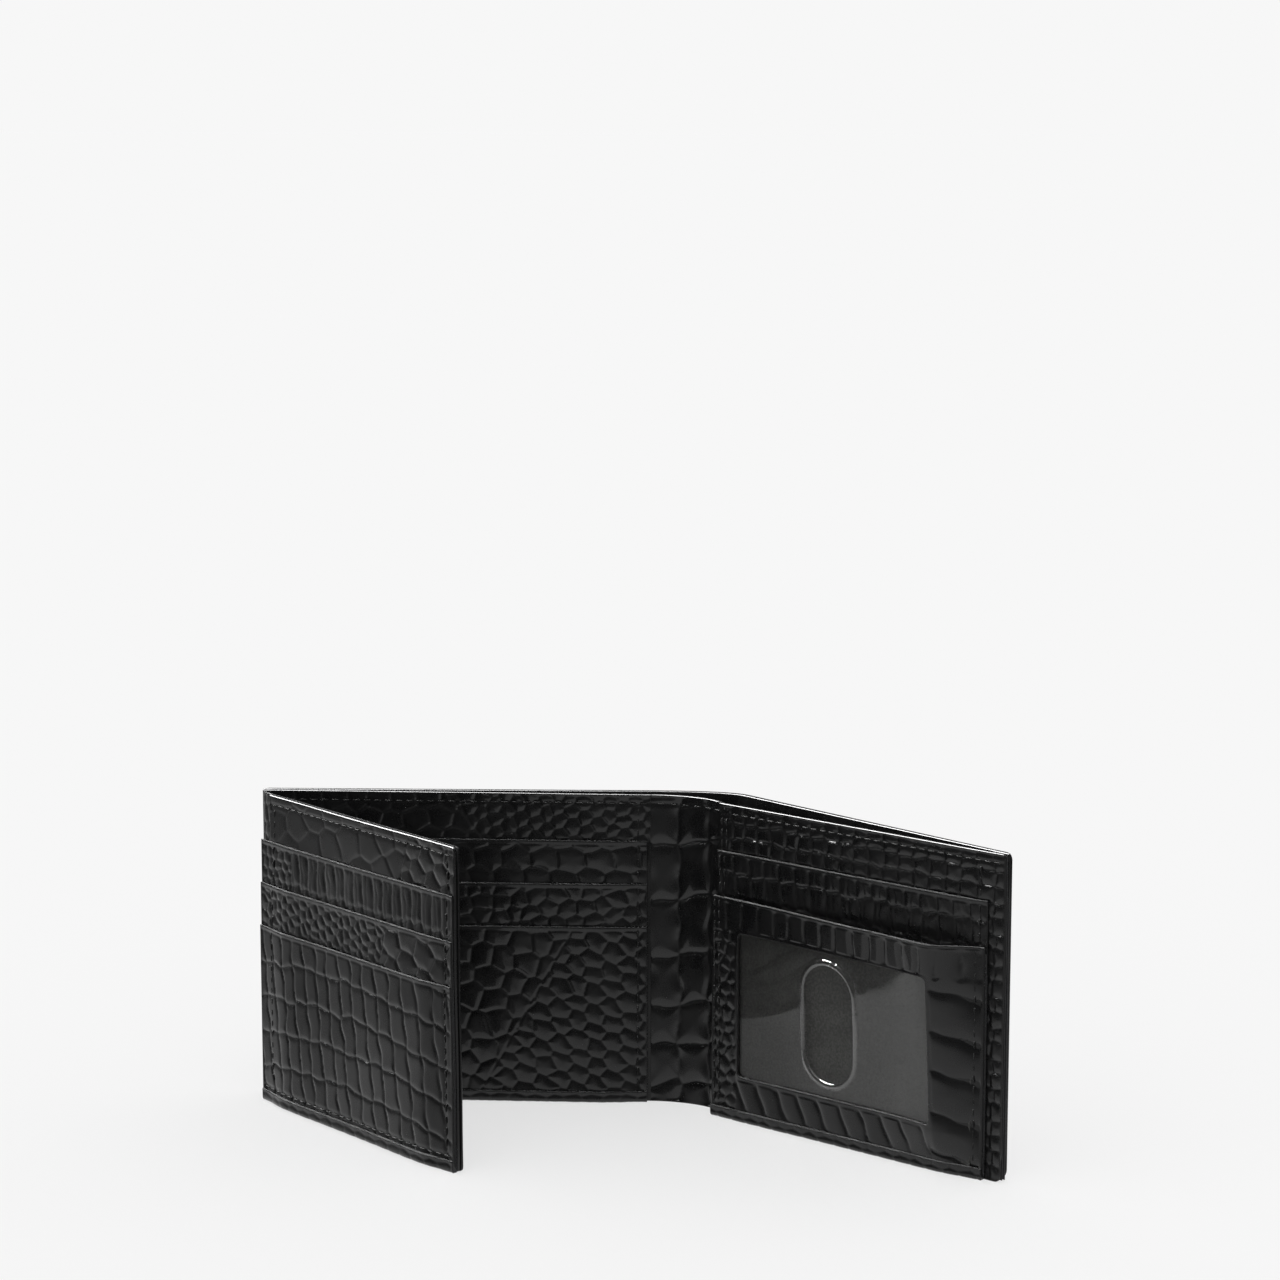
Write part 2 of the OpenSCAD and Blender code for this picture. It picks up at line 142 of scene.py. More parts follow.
def graded(low, high, step, fine_from=None):
    """Values from low to high, close together at both ends, and coarse below fine_from."""
    inner_low = low + EDGE_STEPS[-1]
    inner_high = high - EDGE_STEPS[-1]
    start = inner_low if fine_from is None else max(inner_low, fine_from)
    covered = np.linspace(inner_low, start, max(1, round((start - inner_low) / COARSE)) + 1)
    shown = np.linspace(start, inner_high, max(2, math.ceil((inner_high - start) / step)) + 1)
    ends = np.array(EDGE_STEPS[:-1])
    return np.unique(np.round(np.concatenate([low + ends, covered, shown, high - ends]), 5))


def smooth(x):
    x = np.clip(x, 0, 1)
    return x * x * (3 - 2 * x)


def quads(ids):
    cells = np.stack([ids[:-1, :-1], ids[:-1, 1:], ids[1:, 1:], ids[1:, :-1]], axis=-1)
    return cells.reshape(-1, 4).tolist()


def side_rim(front_ids, back_ids, kept):
    """Faces that close one side of a skin, one for each step between the kept rows."""
    return [
        [*front_ids[low:high + 1], back_ids[k + 1], back_ids[k]]
        for k, (low, high) in enumerate(zip(kept[:-1], kept[1:]))
    ]


def skin(name, front, back, wrap=False, flip=False, kept_step=24):
    """A closed sheet between a front and a back grid. The back keeps only some rows.
    wrap joins the last column to the first, for a sheet with a hole."""
    rows, columns = front.shape[:2]
    kept = sorted({*range(0, rows, kept_step), rows - 1})
    front_ids = np.arange(rows * columns).reshape(rows, columns)
    back_ids = rows * columns + np.arange(len(kept) * columns).reshape(len(kept), columns)
    if wrap:
        front_ids = np.concatenate([front_ids, front_ids[:, :1]], axis=1)
        back_ids = np.concatenate([back_ids, back_ids[:, :1]], axis=1)
    faces = quads(front_ids) + quads(back_ids[:, ::-1])
    faces += quads(np.stack([front_ids[-1], back_ids[-1]]))
    faces += quads(np.stack([back_ids[0], front_ids[0]]))
    if not wrap:
        faces += side_rim(front_ids[:, 0], back_ids[:, 0], kept)
        faces += [f[::-1] for f in side_rim(front_ids[:, -1], back_ids[:, -1], kept)]
    if flip:
        faces = [f[::-1] for f in faces]
    points = np.concatenate([front.reshape(-1, 3), back[kept].reshape(-1, 3)])
    return mesh_object(name, points, faces), kept


def mesh_object(name, points, faces):
    mesh = bpy.data.meshes.new(name)
    mesh.from_pydata((np.asarray(points) * MM).tolist(), [], faces)
    mesh.shade_smooth()
    mesh.set_sharp_from_angle(angle=math.radians(55))
    piece = bpy.data.objects.new(name, mesh)
    bpy.context.scene.collection.objects.link(piece)
    return piece


def add_attribute(piece, name, kind, values):
    attribute = piece.data.attributes.new(name, kind, "POINT")
    key = "vector" if kind == "FLOAT_VECTOR" else "value"
    attribute.data.foreach_set(key, np.asarray(values, np.float32).ravel())


def mark_leather(piece, kept, u, w, groove, back_groove):
    """Keeps on the mesh where each point lies on the hide, and how deep in a groove."""
    place = np.stack([u, w, np.zeros(u.shape)], axis=-1)
    add_attribute(piece, "grain", "FLOAT_VECTOR",
                  np.concatenate([place.reshape(-1, 3), place[kept].reshape(-1, 3)]))
    back = np.full(len(kept) * u.shape[1], back_groove)
    add_attribute(piece, "groove", "FLOAT", np.concatenate([groove.ravel(), back]))


def normals_of(points):
    along = np.gradient(points, axis=1)
    up = np.gradient(points, axis=0)
    normal = np.cross(along, up)
    return normal / np.linalg.norm(normal, axis=-1, keepdims=True)


# ---------------------------------------------------------------- scale relief


def chance(i, j, salt):
    """A fixed random number from 0 to 1 for cell (i, j)."""
    value = np.sin(i * 127.1 + j * 311.7 + salt * 74.7) * 43758.5453
    return value - np.floor(value)


def ripple(u, w, length, salt):
    """A soft wobble between -1 and 1 that repeats nowhere near."""
    k = 2 * math.pi / length
    return (
        np.sin(k * (u + 0.31 * w) + salt)
        + np.sin(k * (0.73 * w - 0.42 * u) * 1.31 + 2.1 * salt)
        + np.sin(k * (0.9 * u - 0.8 * w) * 0.57 + 3.7 * salt)
    ) / 3


def even(x, first, last, length):
    """How many cells lie before x, where their size goes evenly from first to last."""
    change = (last - first) / length
    if abs(change) < 1e-6:
        return x / first
    return np.log(np.maximum(1 + change * x / first, 0.05)) / change


def nearby(a, b, stagger):
    """Cell numbers round each point."""
    for step_b in (-1, 0, 1):
        j = np.floor(b) + step_b
        shift = stagger * (j % 2)
        for step_a in (-1, 0, 1):
            yield np.floor(a - shift) + step_a, j, shift


@dataclass
class Scales:
    """A field of scales. counts(u, w) says how many scales lie before a point, along
    and up; jitter is how far their centres stray and stagger shifts every second row.
    dome is their height, soft the width of their slopes and crease the groove's depth."""

    counts: Callable
    salt: int
    jitter: float = 0.3
    stagger: float = 0.5
    tilt: float = 0.12
    dome: float = 0.3
    wobble: float = 0.5
    soft: float = 0.75
    crease: float = 0.1

    def warped(self, u, w):
        du = self.wobble * ripple(u, w, 9.0, self.salt)
        dw = self.wobble * ripple(w, u, 8.0, self.salt + 5)
        return self.counts(u + du, w + dw)

    def centre(self, i, j, shift):
        x = i + 0.5 + shift + self.jitter * (chance(i, j, self.salt) - 0.5)
        y = j + 0.5 + self.jitter * (chance(i, j, self.salt + 1) - 0.5)
        return x, y

    def border(self, u, w):
        """Distance in mm to the nearest groove, and the tilt of the scale there."""
        a, b = self.warped(u, w)
        probe = 0.1
        a_u, b_u = self.warped(u + probe, w)
        a_w, b_w = self.warped(u, w + probe)
        slopes = (a_u - a) / probe, (b_u - b) / probe, (a_w - a) / probe, (b_w - b) / probe
        near = np.full(a.shape, 99.0)
        own_x, own_y = np.zeros(a.shape), np.zeros(a.shape)
        own_i, own_j = np.zeros(a.shape), np.zeros(a.shape)
        for i, j, shift in nearby(a, b, self.stagger):
            x, y = self.centre(i, j, shift)
            distance = (a - x) ** 2 + (b - y) ** 2
            closer = distance < near
            near = np.where(closer, distance, near)
            own_x, own_y = np.where(closer, x, own_x), np.where(closer, y, own_y)
            own_i, own_j = np.where(closer, i, own_i), np.where(closer, j, own_j)
        reach = np.full(a.shape, 99.0)
        for i, j, shift in nearby(a, b, self.stagger):
            x, y = self.centre(i, j, shift)
            gap = np.hypot(x - own_x, y - own_y)
            other = gap > 1e-6
            gap = np.where(other, gap, 1)
            cells = ((a - x) ** 2 + (b - y) ** 2 - near) / (2 * gap)
            nx, ny = (x - own_x) / gap, (y - own_y) / gap
            stretch = np.hypot(nx * slopes[0] + ny * slopes[1], nx * slopes[2] + ny * slopes[3])
            cells = cells / np.maximum(stretch, 1e-9)
            reach = np.where(other, np.minimum(reach, cells), reach)
        lean_x = chance(own_i, own_j, self.salt + 2) - 0.5
        lean_y = chance(own_i, own_j, self.salt + 3) - 0.5
        tilt = self.tilt * (lean_x * (a - own_x) + lean_y * (b - own_y))
        return np.maximum(reach, 0), tilt

    def relief(self, u, w):
        """Height of the leather and how deep in a groove it lies, from 0 to 1."""
        distance, tilt = self.border(u, w)
        groove = np.exp(-((distance / 0.26) ** 2))
        height = self.dome * (1 - np.exp(-distance / self.soft)) + 2 * tilt * (1 - groove)
        return height - self.dome - self.crease * groove, groove


@dataclass
class Split:
    """Two fields of scales side by side. boundary(w) is where the second one begins."""

    first: object
    second: object
    boundary: Callable

    def relief(self, u, w):
        height_a, groove_a = self.first.relief(u, w)
        height_b, groove_b = self.second.relief(u, w)
        past = u > self.boundary(w)
        seam = np.exp(-(((u - self.boundary(w)) / 0.3) ** 2))
        height = np.where(past, height_b, height_a)
        groove = np.where(past, groove_b, groove_a)
        return height - 0.15 * seam, np.maximum(groove, seam)


@dataclass
class Creased:
    """A field of scales with a wavy crease down the middle of every column."""

    field: Scales
    width: float
    depth: float = 0.1

    def relief(self, u, w):
        height, groove = self.field.relief(u, w)
        a = self.field.warped(u, w)[0]
        middle = (a - np.floor(a) - 0.5) * self.width + 0.5 * ripple(u, w, 6.0, 3)
        crease = np.exp(-((middle / 0.28) ** 2))
        return height - self.depth * crease, np.maximum(groove, 0.6 * crease)


# ---------------------------------------------------------------- leather sheets


def flat(u, w):
    return np.zeros(np.broadcast(u, w).shape)


def round_corner(across, up, radius):
    """Pulls the points of a square corner of that radius in to a quarter circle.
    across and up are distances from the two edges."""
    x = np.clip(1 - across / radius, 0, 1)
    y = np.clip(1 - up / radius, 0, 1)
    inside = (x > 0) & (y > 0)
    new_x = x * np.sqrt(1 - y * y / 2)
    new_y = y * np.sqrt(1 - x * x / 2)
    moved_across = np.where(inside, radius * (1 - new_x), across)
    moved_up = np.where(inside, radius * (1 - new_y), up)
    return moved_across, moved_up


def rounded(u, w, radii):
    """Rounds the named corners of a grid: keys are bl, br, tl and tr."""
    u_low, u_high, w_low, w_high = u.min(), u.max(), w.min(), w.max()
    for corner, radius in radii.items():
        from_top = corner[0] == "t"
        from_right = corner[1] == "r"
        across = u_high - u if from_right else u - u_low
        up = w_high - w if from_top else w - w_low
        across, up = round_corner(across, up, radius)
        u = u_high - across if from_right else u_low + across
        w = w_high - up if from_top else w_low + up
    return u, w


def edge_distance(us, ws, cut):
    """Distance from the nearest edge. A cut side, where another piece carries on, is
    no edge: cut is -1 for the left side, 1 for the right side and 0 for neither."""
    from_left = us - us[0] + (1e3 if cut == -1 else 0)
    from_right = us[-1] - us + (1e3 if cut == 1 else 0)
    across = np.minimum(from_left, from_right)[None, :]
    up = np.minimum(ws - ws[0], ws[-1] - ws)[:, None]
    return np.minimum(across, up)


def edge_rounding(distance, radius=EDGE_ROUND):
    inside = np.maximum(radius - distance, 0)
    return np.sqrt(np.maximum(radius**2 - inside**2, 0)) - radius


MOUTH_LINE = 1.15
PLAIN_MOUTH = 0.9
FADE_RUN = 0.8


def creased_line(distance, place, depth):
    """A fine line pressed into the leather at some distance from its edge."""
    return depth * np.exp(-(((distance - place) / 0.2) ** 2))


def pressed_seams(u, w, seams):
    """Depth to which rows of stitches pull the leather in. A seam is (axis, place)."""
    depth = np.zeros(u.shape)
    for axis, place in seams:
        away = (u if axis == "u" else w) - place
        depth += 0.16 * np.exp(-((away / 0.55) ** 2))
    return depth


def leather(name, us, ws, surface, thickness, field, flip=False, radii=None, seams=(),
            mouth=False, raw=False, fade=1.1, hidden_below=None, edge_round=EDGE_ROUND, cut=0):
    """A leather sheet with scales on its outer face. surface(u, w) gives the outer face
    as points, and the sheet's thickness lies behind it. mouth adds the creased line
    along the top edge of a pocket. raw leaves the top edge unpolished, as a mouth is."""
    u, w = np.meshgrid(us, ws)
    edge = edge_distance(us, ws, cut)
    u, w = rounded(u, w, radii or {})
    base = surface(u, w)
    outward = normals_of(base) * (-1 if flip else 1)
    height, groove = field.relief(u, w)
    strength = smooth(edge / fade)
    if hidden_below is not None:
        strength = strength * smooth((w - hidden_below) / FADE_RUN)
    if mouth:
        strength = strength * smooth((ws[-1] - w - PLAIN_MOUTH) / FADE_RUN)
    height = np.clip(height, -RELIEF_DEPTH, RELIEF_TOP) * strength
    height = height - pressed_seams(u, w, seams) * smooth(edge / FADE_RUN)
    if mouth:
        line = creased_line(ws[-1] - w, MOUTH_LINE, 0.13)
        height = height - line * smooth(edge / FADE_RUN)
    front = base + outward * (height + edge_rounding(edge, edge_round))[..., None]
    back = base - outward * np.broadcast_to(thickness, u.shape)[..., None]
    wear = groove * strength
    if mouth or raw:
        wear = np.maximum(wear, RAW_EDGE * (ws[-1] - w < RAW_WIDTH))
    piece, kept = skin(name, front, back, flip=flip)
    mark_leather(piece, kept, u, w, wear, RAW_EDGE)
    return piece


def finish_piece(piece, material, body, stands_for=()):
    piece.data.materials.append(material)
    if body is not None:
        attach(piece, body)
    if stands_for:
        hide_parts(*stands_for)
    return piece


# ---------------------------------------------------------------- materials


class Nodes:
    """A small helper that adds shader nodes and links them."""

    def __init__(self, tree):
        self.tree = tree
        tree.nodes.clear()

    def add(self, kind, inputs=None, **settings):
        node = self.tree.nodes.new(kind)
        for key, value in settings.items():
            setattr(node, key, value)
        for key, value in (inputs or {}).items():
            if isinstance(value, bpy.types.NodeSocket):
                self.tree.links.new(value, node.inputs[key])
            else:
                node.inputs[key].default_value = value
        return node

    def ranged(self, value, low, high, out_low, out_high, kind="SMOOTHSTEP"):
        node = self.add("ShaderNodeMapRange", {
            "Value": value, "From Min": low, "From Max": high,
            "To Min": out_low, "To Max": out_high,
        }, interpolation_type=kind)
        return node.outputs[0]

    def maths(self, operation, a, b):
        return self.add("ShaderNodeMath", {0: a, 1: b}, operation=operation).outputs[0]

    def colour(self, share, first, second):
        node = self.add("ShaderNodeMix", {0: share, 6: first, 7: second}, data_type="RGBA")
        return node.outputs[2]

    def noise(self, vector, scale, detail=3.0):
        node = self.add("ShaderNodeTexNoise", {
            "Vector": vector, "Scale": scale, "Detail": detail})
        return node.outputs["Fac"]

    def attribute(self, name, output):
        return self.add("ShaderNodeAttribute", attribute_name=name).outputs[output]

    def object_place(self):
        return self.add("ShaderNodeTexCoord").outputs["Object"]

    def bump(self, strength, depth, height):
        """Small relief, with its depth in mm."""
        return self.add("ShaderNodeBump", {
            "Strength": strength, "Distance": depth * MM, "Height": height}).outputs[0]

    def blend(self, share, first, second):
        return self.add("ShaderNodeMixShader", {
            0: share, 1: first.outputs[0], 2: second.outputs[0]})

    def show(self, shader, kind="ShaderNodeOutputMaterial"):
        self.add(kind, {"Surface": shader.outputs[0]})


def new_material(name):
    material = bpy.data.materials.new(name)
    material.use_nodes = True
    return material, Nodes(material.node_tree)


def leather_material(name, dark, light, gloss_low, gloss_high):
    """Glossy pressed leather: fine pores, uneven polish, duller grooves. The groove
    attribute goes from 0 to 1, and to RAW_EDGE on cut edges and rough backs."""
    material, n = new_material(name)
    grain = n.attribute("grain", "Vector")
    groove = n.attribute("groove", "Fac")
    patches = n.noise(grain, 0.12)
    pores = n.noise(grain, 2.2, 5.0)
    wrinkles = n.add("ShaderNodeTexVoronoi", {
        "Vector": grain, "Scale": 1.1, "Randomness": 1.0}, feature="DISTANCE_TO_EDGE")
    polish = n.ranged(patches, 0.35, 0.65, gloss_low, gloss_high)
    worn = n.maths("MULTIPLY", n.ranged(pores, 0.3, 0.7, 0.0, 1.0), 0.07)
    dull = n.maths("MULTIPLY", groove, 0.16)
    roughness = n.maths("ADD", n.maths("ADD", polish, worn), dull)
    folds = n.ranged(wrinkles.outputs["Distance"], 0.0, 0.18, 0.0, 1.0)
    bumps = n.maths("ADD", n.maths("MULTIPLY", pores, 0.5), n.maths("MULTIPLY", folds, 0.35))
    shader = n.add("ShaderNodeBsdfPrincipled", {
        "Base Color": n.colour(patches, (*dark, 1), (*light, 1)),
        "Roughness": roughness,
        "IOR": 1.5,
        "Normal": n.bump(0.16, 0.05, bumps),
        "Coat Weight": n.ranged(groove, 1.2, 2.0, 0.8, 0.0),
        "Coat Roughness": 0.05,
        "Coat IOR": 1.5,
    })
    n.show(shader)
    return material


def fabric_material():
    """Black lining twill: fine slanted ribs with a faint sheen."""
    material, n = new_material("lining_twill")
    place = n.object_place()
    turned = n.add("ShaderNodeMapping", {"Vector": place, "Rotation": (0.0, 0.9, 0.0)})
    ribs = n.add("ShaderNodeTexWave", {
        "Vector": turned.outputs[0], "Scale": 900.0, "Distortion": 0.6})
    lint = n.noise(place, 400.0)
    shade = n.colour(ribs.outputs["Fac"], (0.008, 0.008, 0.009, 1), (0.022, 0.022, 0.024, 1))
    height = n.maths("ADD", ribs.outputs["Fac"], n.maths("MULTIPLY", lint, 0.4))
    shader = n.add("ShaderNodeBsdfPrincipled", {
        "Base Color": shade, "Roughness": 0.75, "Sheen Weight": 0.25,
        "Normal": n.bump(0.5, 0.1, height)})
    n.show(shader)
    return material


def fibre_material(name, dark, light, speck_scale, roughness):
    """Board or paper: fibres and specks in two close tones."""
    material, n = new_material(name)
    place = n.object_place()
    specks = n.noise(place, speck_scale, 4.0)
    clouds = n.noise(place, speck_scale / 12)
    share = n.ranged(n.maths("ADD", specks, n.maths("MULTIPLY", clouds, 0.4)), 0.45, 0.95, 0, 1)
    shader = n.add("ShaderNodeBsdfPrincipled", {
        "Base Color": n.colour(share, (*dark, 1), (*light, 1)),
        "Roughness": n.ranged(clouds, 0.3, 0.7, roughness - 0.05, roughness + 0.05),
        "Normal": n.bump(0.3, 0.04, specks)})
    n.show(shader)
    return material


def thread_material():
    """Waxed black thread, with a soft shine that follows its twist."""
    material, n = new_material("waxed_thread")
    place = n.object_place()
    fibres = n.noise(place, 3000.0, 2.0)
    shader = n.add("ShaderNodeBsdfPrincipled", {
        "Base Color": n.colour(fibres, (0.006, 0.006, 0.006, 1), (0.02, 0.02, 0.02, 1)),
        "Roughness": n.ranged(fibres, 0.3, 0.7, 0.5, 0.65),
        "Specular IOR Level": 0.25,
        "Normal": n.bump(0.4, 0.04, fibres)})
    n.show(shader)
    return material


def film_material():
    """Clear glossy film: it lets light through and mirrors a little of the room. Its
    groove attribute is 1 on the crest of the thumb hole's bead."""
    material, n = new_material("clear_window_film")
    place = n.object_place()
    smears = n.noise(place, 60.0)
    clear = n.add("ShaderNodeBsdfTransparent", {"Color": (0.95, 0.95, 0.95, 1)})
    mirror = n.add("ShaderNodeBsdfGlossy", {
        "Color": (1, 1, 1, 1), "Roughness": n.ranged(smears, 0.3, 0.7, 0.02, 0.06)})
    facing = n.add("ShaderNodeLayerWeight", {"Blend": 0.5}).outputs["Facing"]
    bead = n.attribute("groove", "Fac")
    extra = n.maths("MULTIPLY", bead, 0.14)
    amount = n.maths("ADD", n.ranged(facing, 0.25, 1.0, 0.06, 0.6), extra)
    n.show(n.blend(amount, clear, mirror))
    return material


OUTER = leather_material(
    "outer_leather", (0.003, 0.003, 0.0032), (0.006, 0.006, 0.0064), 0.2, 0.3)
INNER = leather_material(
    "inner_leather", (0.0032, 0.0032, 0.0034), (0.0068, 0.0068, 0.007), 0.2, 0.32)
FABRIC = fabric_material()
BOARD = fibre_material("grey_board", (0.08, 0.075, 0.07), (0.16, 0.15, 0.13), 900.0, 0.85)
PAPER = fibre_material(
    "speckled_insert", (0.018, 0.018, 0.017), (0.045, 0.045, 0.042), 1600.0, 0.55)
THREAD = thread_material()
FILM = film_material()


# ---------------------------------------------------------------- patterns


def columns(first, last, length, height, lean=0.0, arch=flat):
    """Scale counts for upright columns whose width goes from first to last."""
    return lambda u, w: (even(u + lean * w, first, last, length), (w - arch(u, w)) / height)


def slanted(width, height, degrees):
    """Scale counts for rows that climb at an angle."""
    c, s = math.cos(math.radians(degrees)), math.sin(math.radians(degrees))
    return lambda u, w: ((u * c + w * s) / width, (w * c - u * s) / height)


def wing_arch(u, w):
    """The rows of scales on the wing rise to the middle and fall to the free edge."""
    return 0.164 * u - 0.00203 * u * u


WING_FRONT_SCALES = Scales(
    columns(4.8, 6.4, WING_W, 10.0, 0.12, wing_arch), 11, jitter=0.1, stagger=0.0, wobble=0.7,
    dome=0.2, soft=0.5, crease=0.14)
WING_MIDDLE_SCALES = Split(
    Scales(slanted(3.2, 3.4, 28), 21, jitter=0.45),
    Scales(slanted(7.8, 6.6, -30), 22, jitter=0.25),
    lambda w: 44 + 0.3 * w)
WING_UPPER_SCALES = Split(
    Scales(columns(3.2, 3.6, WING_W, 3.1), 31, jitter=0.3),
    Creased(Scales(columns(4.2, 4.4, WING_W, 10.8), 32, jitter=0.14, stagger=0.2), 4.2),
    lambda w: 17 + 0.1 * (w - 60))
WING_TOP_SCALES = Split(
    Scales(slanted(9.5, 8.0, 14), 41, jitter=0.4, dome=0.1, crease=0.05),
    Scales(slanted(6.0, 6.0, 42), 42, jitter=0.2),
    lambda w: 66 + 0.4 * (w - 75))
LEFT_TOP_SCALES = Split(
    Scales(columns(6.6, 7.4, LEFT_W, 5.6), 51, jitter=0.3),
    Scales(slanted(4.2, 3.6, 36), 52, jitter=0.3),
    lambda w: 62 - 0.8 * (w - 76))
LEFT_UPPER_SCALES = Scales(columns(7.0, 8.0, LEFT_W, 6.1, 0.12), 61, jitter=0.2, stagger=0.35)
LEFT_MIDDLE_SCALES = Scales(slanted(5.0, 4.2, 8), 71, jitter=0.5)
LEFT_FRONT_SCALES = Split(
    Scales(slanted(6.8, 6.4, -12), 81, jitter=0.42),
    Scales(slanted(6.2, 4.3, -35), 82, jitter=0.35),
    lambda w: 74 + 0.55 * (w - 26))
RIGHT_TOP_SCALES = Scales(
    columns(4.4, 5.4, RIGHT_W, 4.2), 91, jitter=0.12, stagger=0.15, dome=0.34)
RIGHT_CARD_SCALES = Creased(
    Scales(columns(5.2, 5.4, RIGHT_W, 7.0, 0.06), 101, jitter=0.14, stagger=0.1), 5.2)
HEM_SCALES = Scales(
    columns(5.0, 5.4, LEFT_W, 2.6), 111, jitter=0.3, dome=0.1, wobble=0.2, tilt=0.03, crease=0.06)
SHELL_SCALES = Scales(slanted(11.5, 9.0, 3), 121, jitter=0.28, stagger=0.45, dome=0.34)
FACING_SCALES = Scales(columns(6.0, 6.4, LEFT_W, 5.0), 131, jitter=0.3, dome=0.2)
BACK_SCALES = Scales(slanted(9.0, 7.5, -4), 141, jitter=0.28, stagger=0.45)
STRIP_SCALES = Scales(columns(3.0, 3.0, LEFT_W, 4.5), 151, jitter=0.4, dome=0.2)

SPINE_GROOVES = (-6, 6, 17.5, 29.5, 43.7, 59.7, 75.5, 91)


def spine_counts(u, w):
    """Tall scales in three columns, whose rows climb towards the right panel."""
    level = w - 0.2 * (u - SPINE_W / 2)
    return (u + 0.9) / 9.2, np.interp(level, SPINE_GROOVES, range(len(SPINE_GROOVES)))


SPINE_SCALES = Scales(spine_counts, 161, jitter=0.12, stagger=0.0, tilt=0.1, dome=0.75, wobble=0.8,
                      soft=0.9, crease=0.34)


class FrameScales:
    """The window pocket: each border of the window has scales of its own."""

    top = Scales(columns(5.7, 5.7, RIGHT_W, 40.0), 171, jitter=0.1, stagger=0)
    right = Scales(lambda u, w: (u / 40 + 0.5, (w + 0.22 * u) / 11.4), 172, jitter=0.08, stagger=0,
                   dome=0.5, soft=1.2, crease=0.3)
    left = Scales(columns(3.6, 3.6, RIGHT_W, 3.6), 173, jitter=0.45)
    bottom = Scales(lambda u, w: ((0.91 * u + 0.41 * w) / 6.5, w / 60 + 0.3), 174, jitter=0.12,
                    stagger=0)

    def relief(self, u, w):
        height, groove = self.bottom.relief(u, w)
        borders = ((self.left, u < WINDOW_LOW[0] - 0.8), (self.right, u > WINDOW_HIGH[0]),
                   (self.top, w > WINDOW_HIGH[1]))
        for field, there in borders:
            field_height, field_groove = field.relief(u, w)
            height = np.where(there, field_height, height)
            groove = np.where(there, field_groove, groove)
        return height, groove


# ---------------------------------------------------------------- shapes of the panels


SQUEEZE = 0.5
SQUEEZE_RUN = 14.0
FRAME_LOW, FRAME_HIGH = right.span("window_frame")
SEWN_EDGES = {
    "left_panel": (left.span("left_pocket_front")[1][0],),
    "right_panel": (FRAME_HIGH[0],),
    "wing": (wing.span("wing_pocket_front")[0][0], WING_W),
}
LINER_FRONT = {"left_panel": 0.0, "right_panel": 0.0, "wing": wing.span("wing_liner")[0][1]}


def pressed(body, v, u):
    """Place of a layer's face once the pockets, in front of the panel's inner leather,
    are skived and pressed together near a sewn edge."""
    nearest = np.min([abs(u - edge) for edge in SEWN_EDGES[body]], axis=0)
    kept = SQUEEZE + (1 - SQUEEZE) * smooth(nearest / SQUEEZE_RUN)
    from_liner = v - LINER_FRONT[body]
    return LINER_FRONT[body] + np.maximum(from_liner, 0) + np.minimum(from_liner, 0) * kept


def left_bow(u, w):
    return 0.22 * ripple(u, w, 46.0, 1.0) * smooth(w / 20)


def wing_bow(u, w):
    """The wing sways a little: its free edge leans out at the top and in at the foot."""
    free = smooth((u - STRIP_W) / (WING_W - STRIP_W))
    lean = 0.8 * (0.45 - w / PANEL_H) * free
    return lean + 0.3 * ripple(u, w, 52.0, 2.0) * smooth((u - STRIP_W) / 12)


def right_bow(u, w):
    return 0.18 * ripple(u, w, 50.0, 3.0) * smooth(u / 12)


MOUTH_BOW = 4.4
MOUTH_PEAK = 0.8
BULGE = 1.8
BULGE_START = 56.0
BULGE_END = 78.0


def window_bow(u, w):
    """The mouth of the window pocket stands open towards the reader."""
    share = np.clip(u / FRAME_HIGH[0], 0, 1)
    rise = np.where(share < MOUTH_PEAK, smooth(share / MOUTH_PEAK),
                    smooth((1 - share) / (1 - MOUTH_PEAK)))
    swell = np.where(u < BULGE_END,
                     np.clip((u - BULGE_START) / (BULGE_END - BULGE_START), 0, 1) ** 2,
                     smooth((FRAME_HIGH[0] - u) / (FRAME_HIGH[0] - BULGE_END)))
    mouth = MOUTH_BOW * rise * np.clip(w / FRAME_HIGH[2], 0, 1) ** 1.6
    return right_bow(u, w) - mouth - BULGE * swell * smooth(w / 12)


LEAVES = {
    "left_panel": (left, left_bow),
    "right_panel": (right, right_bow),
    "wing": (wing, wing_bow),
}
MOUTH_ROUND = 0.14


def front_of(body, front_v):
    """The outer face of a flat CAD sheet, pressed at the sewn edges and bowed."""
    panel, bow = LEAVES[body]
    return lambda u, w: panel.at(u, pressed(body, front_v, u) + bow(u, w), w)


def ply(name, node, body, field, shown_from=None, **looks):
    """A leather sheet in place of a flat CAD one, on the same panel."""
    low, high = LEAVES[body][0].span(node)
    us = graded(low[0], high[0], FINE)
    ws = graded(low[2], high[2], FINE, shown_from)
    thickness = pressed(body, high[1], us) - pressed(body, low[1], us)
    looks.setdefault("edge_round", MOUTH_ROUND if looks.get("mouth") else EDGE_ROUND)
    piece = leather(name, us, ws, front_of(body, low[1]), thickness, field,
                    hidden_below=shown_from, **looks)
    finish_piece(piece, INNER, body, [node])


HEM_TURN = 1.1
HEM_T = 0.68


